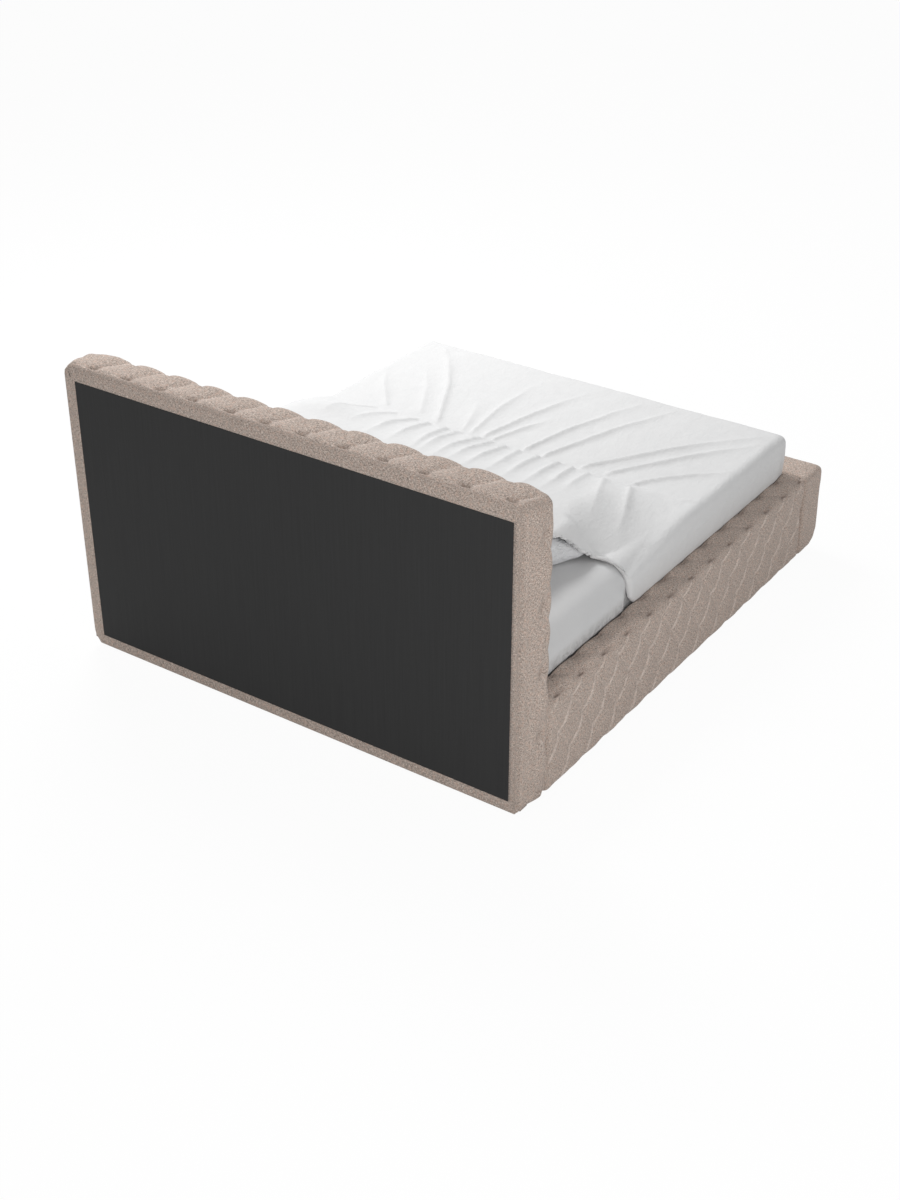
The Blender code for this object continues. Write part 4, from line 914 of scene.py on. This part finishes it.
def makePillow(name, side, look):
    piece = meshPiece(name, *pillowMesh(look), pillowFinish)
    width, depth, rise = look["width"], look["depth"], look["seamRise"]
    start = np.array([vert.co for vert in piece.data.vertices])
    blown = blowUp(piece, look)
    moved = blown - start
    far = np.linalg.norm(moved, axis=1)
    moved *= np.minimum(1, look["cap"] / np.maximum(far, 1e-9))[:, None]
    points = start + moved
    x, y, z = points.T
    x *= width / 2 / abs(x).max()
    y *= depth / 2 / abs(y).max()
    z[:] = np.where(z > 0, z * (look["thickness"] - rise) / z.max(), z * rise / -z.min())
    corner = np.clip((abs(x) * 2 / width * abs(y) * 2 / depth) ** 5, 0, 1)
    z -= look["droop"] * corner
    points[:, :2] += look["earReach"] * np.sign(points[:, :2]) * corner[:, None] ** 2
    down = np.clip(-z / rise, 0, 1)
    z[:] = np.where(z < 0, -rise * (1 - (1 - down) ** 2.2), z)
    middle = [side * (look["middleGap"] + width) / 2, bed["headFront"] - look["headGap"] - depth / 2,
              bed["mattressTop"] + rise - 0.0005]
    piece.data.vertices.foreach_set("co", (points + middle).astype(np.float32).ravel())
    finer = piece.modifiers.new("softened", 'SUBSURF')
    finer.levels = finer.render_levels = 1
    return piece


# Duvet: tucked between mattress and frame, drawn up over the pillows, with the folds that the photo shows

duvet = {
    "halfWidth": 0.8997, "foot": -0.9962, "head": 0.8285, "thickness": 0.0115, "top": 0.0142,
    "edges": (0.034, 0.034, 0.034, 0.034), "corner": (0.034, 2.8), "step": 0.0068, "drop": 0.2,
    "finerTo": 0.147, "tuckZ": 0.377, "creaseY": -0.2395, "crestY": 0.4585, "lift": 0.142,
    "pull": (0.235, 0.355), "hemInset": 0.15, "hemFrom": (0.306, 0.35), "looseInset": 0.09,
    "looseFrom": (0.35, 0.5), "hemDrop": 0.017,
    "hemReach": 0.012, "hemLift": 0.0065, "gatherPitch": 0.021, "gatherDepth": 0.0042, "puff": 0.005,
    "softness": 0.002, "slump": 0.045, "slumpZone": (0.74, 0.9), "slumpFrom": (-0.2, 0.28),
    "shoulderDrop": 0.1, "shoulderZone": (0.55, 0.72), "pillowFrom": (0.2, 0.4), "hump": 0.034,
    "humpPlace": (0.7, 0.03), "humpReach": (0.15, 0.12), "valley": 0.02, "valleyReach": 0.035,
    "valleyFrom": (0.34, 0.5), "headDrop": 0.035, "headFrom": (0.7, 0.83), "zigzag": 0.012,
    "zigzagPitch": 0.11, "dip": 0.003, "dipReach": 0.016, "swell": 0.0095, "swellZ": (0.37, 0.41, 0.46, 0.56),
    "swellFrom": (-0.96, -0.9), "swellZone": (0.86, 0.89), "pressReach": 0.04, "mattressGap": 0.003,
    "pillowGap": 0.005}

# fold lines on the bed in millimetres: places x, y along the ridge, then its height and width
footFolds = [
    (347, -262, 522, -598, 670, -812, 764, -920, 11, 20), (460, -300, 591, -532, 725, -716, 6, 24),
    (218, -262, 266, -409, 325, -539, 6, 20), (174, -262, 210, -516, 216, -791, 9, 18),
    (115, -255, 75, -491, 20, -750, -17, -863, 11, 18), (68, -255, 28, -408, -27, -561, 9, 16),
    (-87, -240, -135, -480, -210, -760, -261, -891, 12, 18),
    (-177, -233, -233, -411, -307, -651, -408, -918, 12, 18),
    (-353, -236, -546, -535, -686, -743, -817, -895, 13, 18),
    (-464, -249, -616, -484, -728, -661, -844, -826, 12, 18),
    (-589, -223, -687, -354, -857, -543, 12, 16), (-694, -217, -802, -215, -893, -276, 6, 12),
    (-802, -215, -895, -180, 5, 12), (620, -280, 760, -450, 860, -600, 7, 22)]
headFolds = [
    (660, -255, 680, -100, 660, 100, 8, 20), (555, -262, 560, -120, 540, 60, 9, 18),
    (444, -268, 441, -80, 402, 162, 12, 17), (377, -262, 339, -60, 288, 172, 12, 17),
    (290, -262, 242, -68, 179, 155, 13, 16), (228, -262, 188, -59, 135, 170, 12, 16),
    (120, -255, 94, -12, 57, 195, 13, 16), (60, -253, 26, -27, -2, 172, 12, 16),
    (-11, -250, -55, -25, -85, 191, 13, 16), (-76, -246, -150, 9, -176, 162, 12, 16),
    (-175, -237, -232, 21, -262, 174, 13, 16), (-266, -240, -335, 58, -355, 188, 13, 17),
    (-342, -220, -413, 47, -430, 164, 13, 17), (-420, -205, -485, 60, -500, 130, 9, 18),
    (-497, -195, -610, 60, -665, 200, 10, 24), (-618, -189, -720, 40, -775, 190, 11, 24)]


def foldHeight(x, y, folds):
    # ridges with a fairly sharp crest that fade out towards their ends
    total = np.zeros(len(x))
    for fold in folds:
        *line, height, width = np.array(fold) / 1000
        line = np.reshape(line, (-1, 2))
        lengths = np.hypot(*(line[1:] - line[:-1]).T)
        best = np.full(len(x), 1e9)
        place = np.zeros(len(x))
        run = 0.0
        for start, end, length in zip(line[:-1], line[1:], lengths):
            direction = (end - start) / length
            along = np.clip((x - start[0]) * direction[0] + (y - start[1]) * direction[1], 0, length)
            away = np.hypot(x - start[0] - along * direction[0], y - start[1] - along * direction[1])
            place = np.where(away < best, (run + along) / lengths.sum(), place)
            best = np.minimum(away, best)
            run += length
        fading = ease(place, -0.03, 0.07) * (1 - ease(place, 0.5, 1.0) * 0.75)
        spread = width * (0.55 + 0.5 * place)
        total = np.maximum(total, 1.3 * height * fading * np.exp(-(best / spread) ** 1.15))
    return total


def mattressSurface(x):
    # the height of the mattress's top, with its soft shoulders
    edge = mattress["edges"][0]
    over = np.clip(abs(x) - (mattress["halfWidth"] - edge), 0, edge)
    return bed["mattressTop"] - edge + np.sqrt(edge ** 2 - over ** 2)


def duvetTop(x, y, look):
    wide = abs(x)
    share = np.clip((y - look["creaseY"]) / (look["crestY"] - look["creaseY"]), 0, 1)
    rise = look["lift"] * np.sin(np.pi / 2 * share)
    onPillow = ease(y, *look["pillowFrom"])
    rise *= 1 - 0.97 * ease(-x, 0.58 + 0.08 * onPillow, 0.84 - 0.04 * onPillow)
    rise -= onPillow * look["lift"] * look["shoulderDrop"] * ease(wide, *look["shoulderZone"])
    (humpX, humpY), (reachX, reachY) = look["humpPlace"], look["humpReach"]
    rise += look["hump"] * np.exp(-((x - humpX) / reachX) ** 2 - ((y - humpY) / reachY) ** 2)
    valley = -look["valley"] * np.exp(-((x / look["valleyReach"]) ** 2)) * ease(y, *look["valleyFrom"])
    headEnd = -look["headDrop"] * ease(y, *look["headFrom"])
    slump = -look["slump"] * ease(wide, *look["slumpZone"]) ** 2 * ease(y, *look["slumpFrom"])
    surface = bed["mattressTop"] + look["top"] + rise + valley + headEnd + slump
    folds = np.maximum(foldHeight(x, y, footFolds) * fade(y, -0.24, -0.2),
                       foldHeight(x, y, headFolds) * ease(y, -0.27, -0.24))
    zigzag = look["zigzag"] * (2 * abs((x / look["zigzagPitch"]) % 1 - 0.5) - 0.5)
    fromCrease = y - look["creaseY"] - zigzag
    dip = -look["dip"] * np.exp(-(fromCrease / look["dipReach"]) ** 2) * fade(wide, 0.6, 0.8)
    flat = np.stack([x, y, x * 0], 1)
    soft = look["softness"] * (softNoise(flat, 0.13, 51) + 0.5 * softNoise(flat, 0.05, 52))
    return surface + folds + dip + soft


def makeDuvet(look):
    width = 2 * look["halfWidth"]
    length = look["head"] - look["foot"]
    depth, step, deepest = look["drop"], look["step"], look["drop"] * 0.98
    dLines = runLines([0, look["edges"][0], look["finerTo"], deepest], [6, 10, 14])
    slab = Slab(evenLines(-width / 2, width / 2, step), evenLines(0, length, step), dLines,
                (width, length, depth))
    points, normals = roundSlab(slab, look)
    x, y, d = points.T
    y = y + look["foot"]
    inset = look["hemInset"] * ease(y, *look["hemFrom"])
    loose = look["looseInset"] * ease(y, *look["looseFrom"])
    x = x / look["halfWidth"] * (look["halfWidth"] - inset - loose)
    start, end = look["pull"]
    tucked = 1 - np.clip((y - start) / (end - start), 0, 1) ** 2
    top = duvetTop(x, y, look)
    fall = d / deepest
    # the side falls from the raised top to its tuck; over the pillows it ends in a soft hem that lies on them
    z = top - fall * ((top - look["tuckZ"]) * tucked + look["hemDrop"] * (1 - tucked))
    puffed = np.sin(np.pi * np.clip(fall * 1.2, 0, 1)) * look["puff"] * tucked
    around = np.where(slab.side == 3, x, y)
    wander = softNoise(np.stack([around, x * 0, y * 0], 1), 0.05, 53)
    ripple = np.cos(2 * np.pi * around / look["gatherPitch"] + 2.5 * wander)
    gathers = look["gatherDepth"] * ripple * ease(fall, 0.1, 0.6) * (1 - tucked) * (slab.side > 0)
    reach = (look["hemReach"] * ease(fall, 0.0, 1.0) + gathers) * (1 - tucked)
    x = x + normals[:, 0] * (puffed + reach)
    y = y + normals[:, 1] * reach * (slab.side == 3)
    z = z + 1.2 * gathers
    resting = (abs(x) < mattress["halfWidth"] - 0.002) & (y > look["foot"] + 0.05)
    floor = mattressSurface(x) + look["thickness"] + 0.0012 + look["hemLift"] * (1 - tucked)
    z = np.where(resting, np.maximum(z, floor), z)
    # above the rails its sides swell out a little over their rounded edges
    swell = look["swell"] * between(z, *look["swellZ"]) * tucked * ease(y, *look["swellFrom"])
    x = x + np.sign(x) * swell * ease(abs(x), *look["swellZone"])
    x = np.sign(x) * np.minimum(abs(x), np.maximum(look["halfWidth"], railEdge(z)))
    world = np.stack([x, np.maximum(y, look["foot"]), z], 1)
    piece = meshPiece("duvetCover", world, slab.faces, duvetFinish, closed=False)
    thick = piece.modifiers.new("filling", 'SOLIDIFY')
    thick.thickness = look["thickness"]
    thick.offset = -1
    thick.use_rim = True
    # the filling thins out towards the hem
    thinned = 1 - ease(fall, 0.0, 0.8) * (1 - tucked) * (slab.side > 0)
    group = piece.vertex_groups.new(name="filling")
    for share in range(11):
        group.add(np.where(np.round(thinned * 10) == share)[0].tolist(), share / 10, 'REPLACE')
    thick.vertex_group = group.name
    thick.thickness_vertex_group = 0.3
    return piece


def pressUnder(piece, cover, look, gap):
    # points that would cut into the cover lie back behind its inner face
    tree = BVHTree.FromObject(cover, bpy.context.evaluated_depsgraph_get())
    reach, moved = look["pressReach"], []
    for vert in piece.data.vertices:
        out = vert.normal.copy()
        outer = tree.ray_cast(vert.co + out * reach, -out, 2 * reach)[0]
        if outer is None:
            continue
        inner = tree.ray_cast(outer - out * 0.0003, -out, reach)[0]
        if inner is not None and (inner - vert.co).dot(out) < gap:
            moved.append((vert, inner - out * gap))
    for vert, place in moved:
        vert.co = place
    return len(moved)


headboardCover = makeHeadboard(headboard)
print("headboard cover:", len(headboardCover.data.vertices), "points")
railCovers = [makeRail("railCoverLeft", 1, rail), makeRail("railCoverRight", -1, rail)]
print("rail covers:", sum(len(cover.data.vertices) for cover in railCovers), "points")
footboardCover = makeFootboard(footboard)
print("footboard cover:", len(footboardCover.data.vertices), "points")
sheetedMattress = makeMattress(mattress)
print("mattress:", len(sheetedMattress.data.vertices), "points")
pillows = [makePillow("pillowLeft", 1, pillow), makePillow("pillowRight", -1, pillow)]
print("pillows blown up")
duvetCover = makeDuvet(duvet)
print("duvet:", len(duvetCover.data.vertices), "points")
pressed = [pressUnder(sheetedMattress, duvetCover, duvet, duvet["mattressGap"])]
pressed += [pressUnder(piece, duvetCover, duvet, duvet["pillowGap"]) for piece in pillows]
print("points pressed down by the duvet:", pressed)

softPieces = [
    (headboardCover, "headboard_upholstery", "upholstery", 0.9),
    (railCovers[0], "rail_upholstery_left", "upholstery", 0.9),
    (railCovers[1], "rail_upholstery_right", "upholstery", 0.9),
    (footboardCover, "foot_upholstery", "upholstery", 0.95), (sheetedMattress, "mattress", "sheet", 1.0),
    (pillows[0], "pillow_left", "cotton", 0.6), (pillows[1], "pillow_right", "cotton", 0.6),
    (duvetCover, "duvet", "cotton", 0.3)]
for piece, node, slot, fill in softPieces:
    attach(piece, "root")
    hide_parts(node)

slotOf = {part["node"]: part["material_slot"] for part in frame["record"].get("subparts", [])}
for name, node in frame["nodes"].items():
    finish = nodeFinishes.get(slotOf.get(name))
    if finish:
        node.data.materials.clear()
        node.data.materials.append(finish)
print("finishes given to the frame's own parts")


# Light, floor and camera

studio = {
    "worldStrength": 0.45, "floorSize": 40.0, "floorWhite": 0.95, "floorSeen": 0.96, "floorBounce": 0.82,
    "lamps": [("keyLight", (2.9, -1.4, 4.6), (0, 0, 0.4), 222.0, 2.6),
              ("fillLight", (-4.6, 4.6, 2.4), (0, 0.3, 0.5), 114.0, 3.6)]}
view = {"place": (-3.527, 5.262, 3.76), "yaw": -34.59, "down": 30.93, "lens": 53.54, "sensor": 36.0}


def addLamp(name, place, target, power, size):
    data = bpy.data.lights.new(name, 'AREA')
    data.shape = 'DISK'
    data.energy = power
    data.size = size
    lamp = bpy.data.objects.new(name, data)
    lamp.location = place
    lamp.rotation_euler = (Vector(target) - Vector(place)).to_track_quat('-Z', 'Y').to_euler()
    bpy.context.scene.collection.objects.link(lamp)


def makeWorld(look):
    world = bpy.context.scene.world = bpy.data.worlds.new("studio")
    made = Finish(world, "Background", {"Color": (1, 1, 1), "Strength": look["worldStrength"]})
    camera, glossy = (made.node("LightPath", {}, {}, f"Is {ray} Ray") for ray in ("Camera", "Glossy"))
    white = made.node("Background", {}, {"Color": (1, 1, 1), "Strength": 1.0})
    made.mixSurface(camera.math('MAXIMUM', camera, glossy), white)


def makeFloor(look):
    seen, bounce = (look["floorSeen"],) * 3, (look["floorBounce"],) * 3
    made = newFinish("paleFloor", seen, 0.9)
    path = made.node("LightPath", {}, {}, "Is Camera Ray")
    made.feed({"Base Color": made.blend(path, bounce, seen)})
    white = made.node("Emission", {}, {"Color": (1, 1, 1), "Strength": 1.0})
    made.mixSurface(path * look["floorWhite"], white)
    half = look["floorSize"] / 2
    mesh = bpy.data.meshes.new("floor")
    corners = [(-half, -half, 0), (half, -half, 0), (half, half, 0), (-half, half, 0)]
    mesh.from_pydata(corners, [], [(0, 1, 2, 3)])
    mesh.materials.append(made.owner)
    floor = bpy.data.objects.new("floor", mesh)
    bpy.context.scene.collection.objects.link(floor)


def makeCamera(look):
    yaw, down = math.radians(look["yaw"]), math.radians(look["down"])
    forward = Vector((-math.sin(yaw) * math.cos(down), -math.cos(yaw) * math.cos(down), -math.sin(down)))
    right = forward.cross(Vector((0, 0, 1))).normalized()
    data = bpy.data.cameras.new("photoView")
    data.lens = look["lens"]
    data.sensor_fit = 'VERTICAL'
    data.sensor_height = data.sensor_width = look["sensor"]
    data.clip_end = 100.0
    camera = bpy.data.objects.new("photoView", data)
    turned = Matrix((right, right.cross(forward), -forward)).transposed().to_4x4()
    camera.matrix_world = Matrix.Translation(look["place"]) @ turned
    bpy.context.scene.collection.objects.link(camera)
    bpy.context.scene.camera = camera


makeWorld(studio)
makeFloor(studio)
for lamp in studio["lamps"]:
    addLamp(*lamp)
makeCamera(view)
bpy.context.scene.view_settings.view_transform = 'Standard'
print("light and camera set")
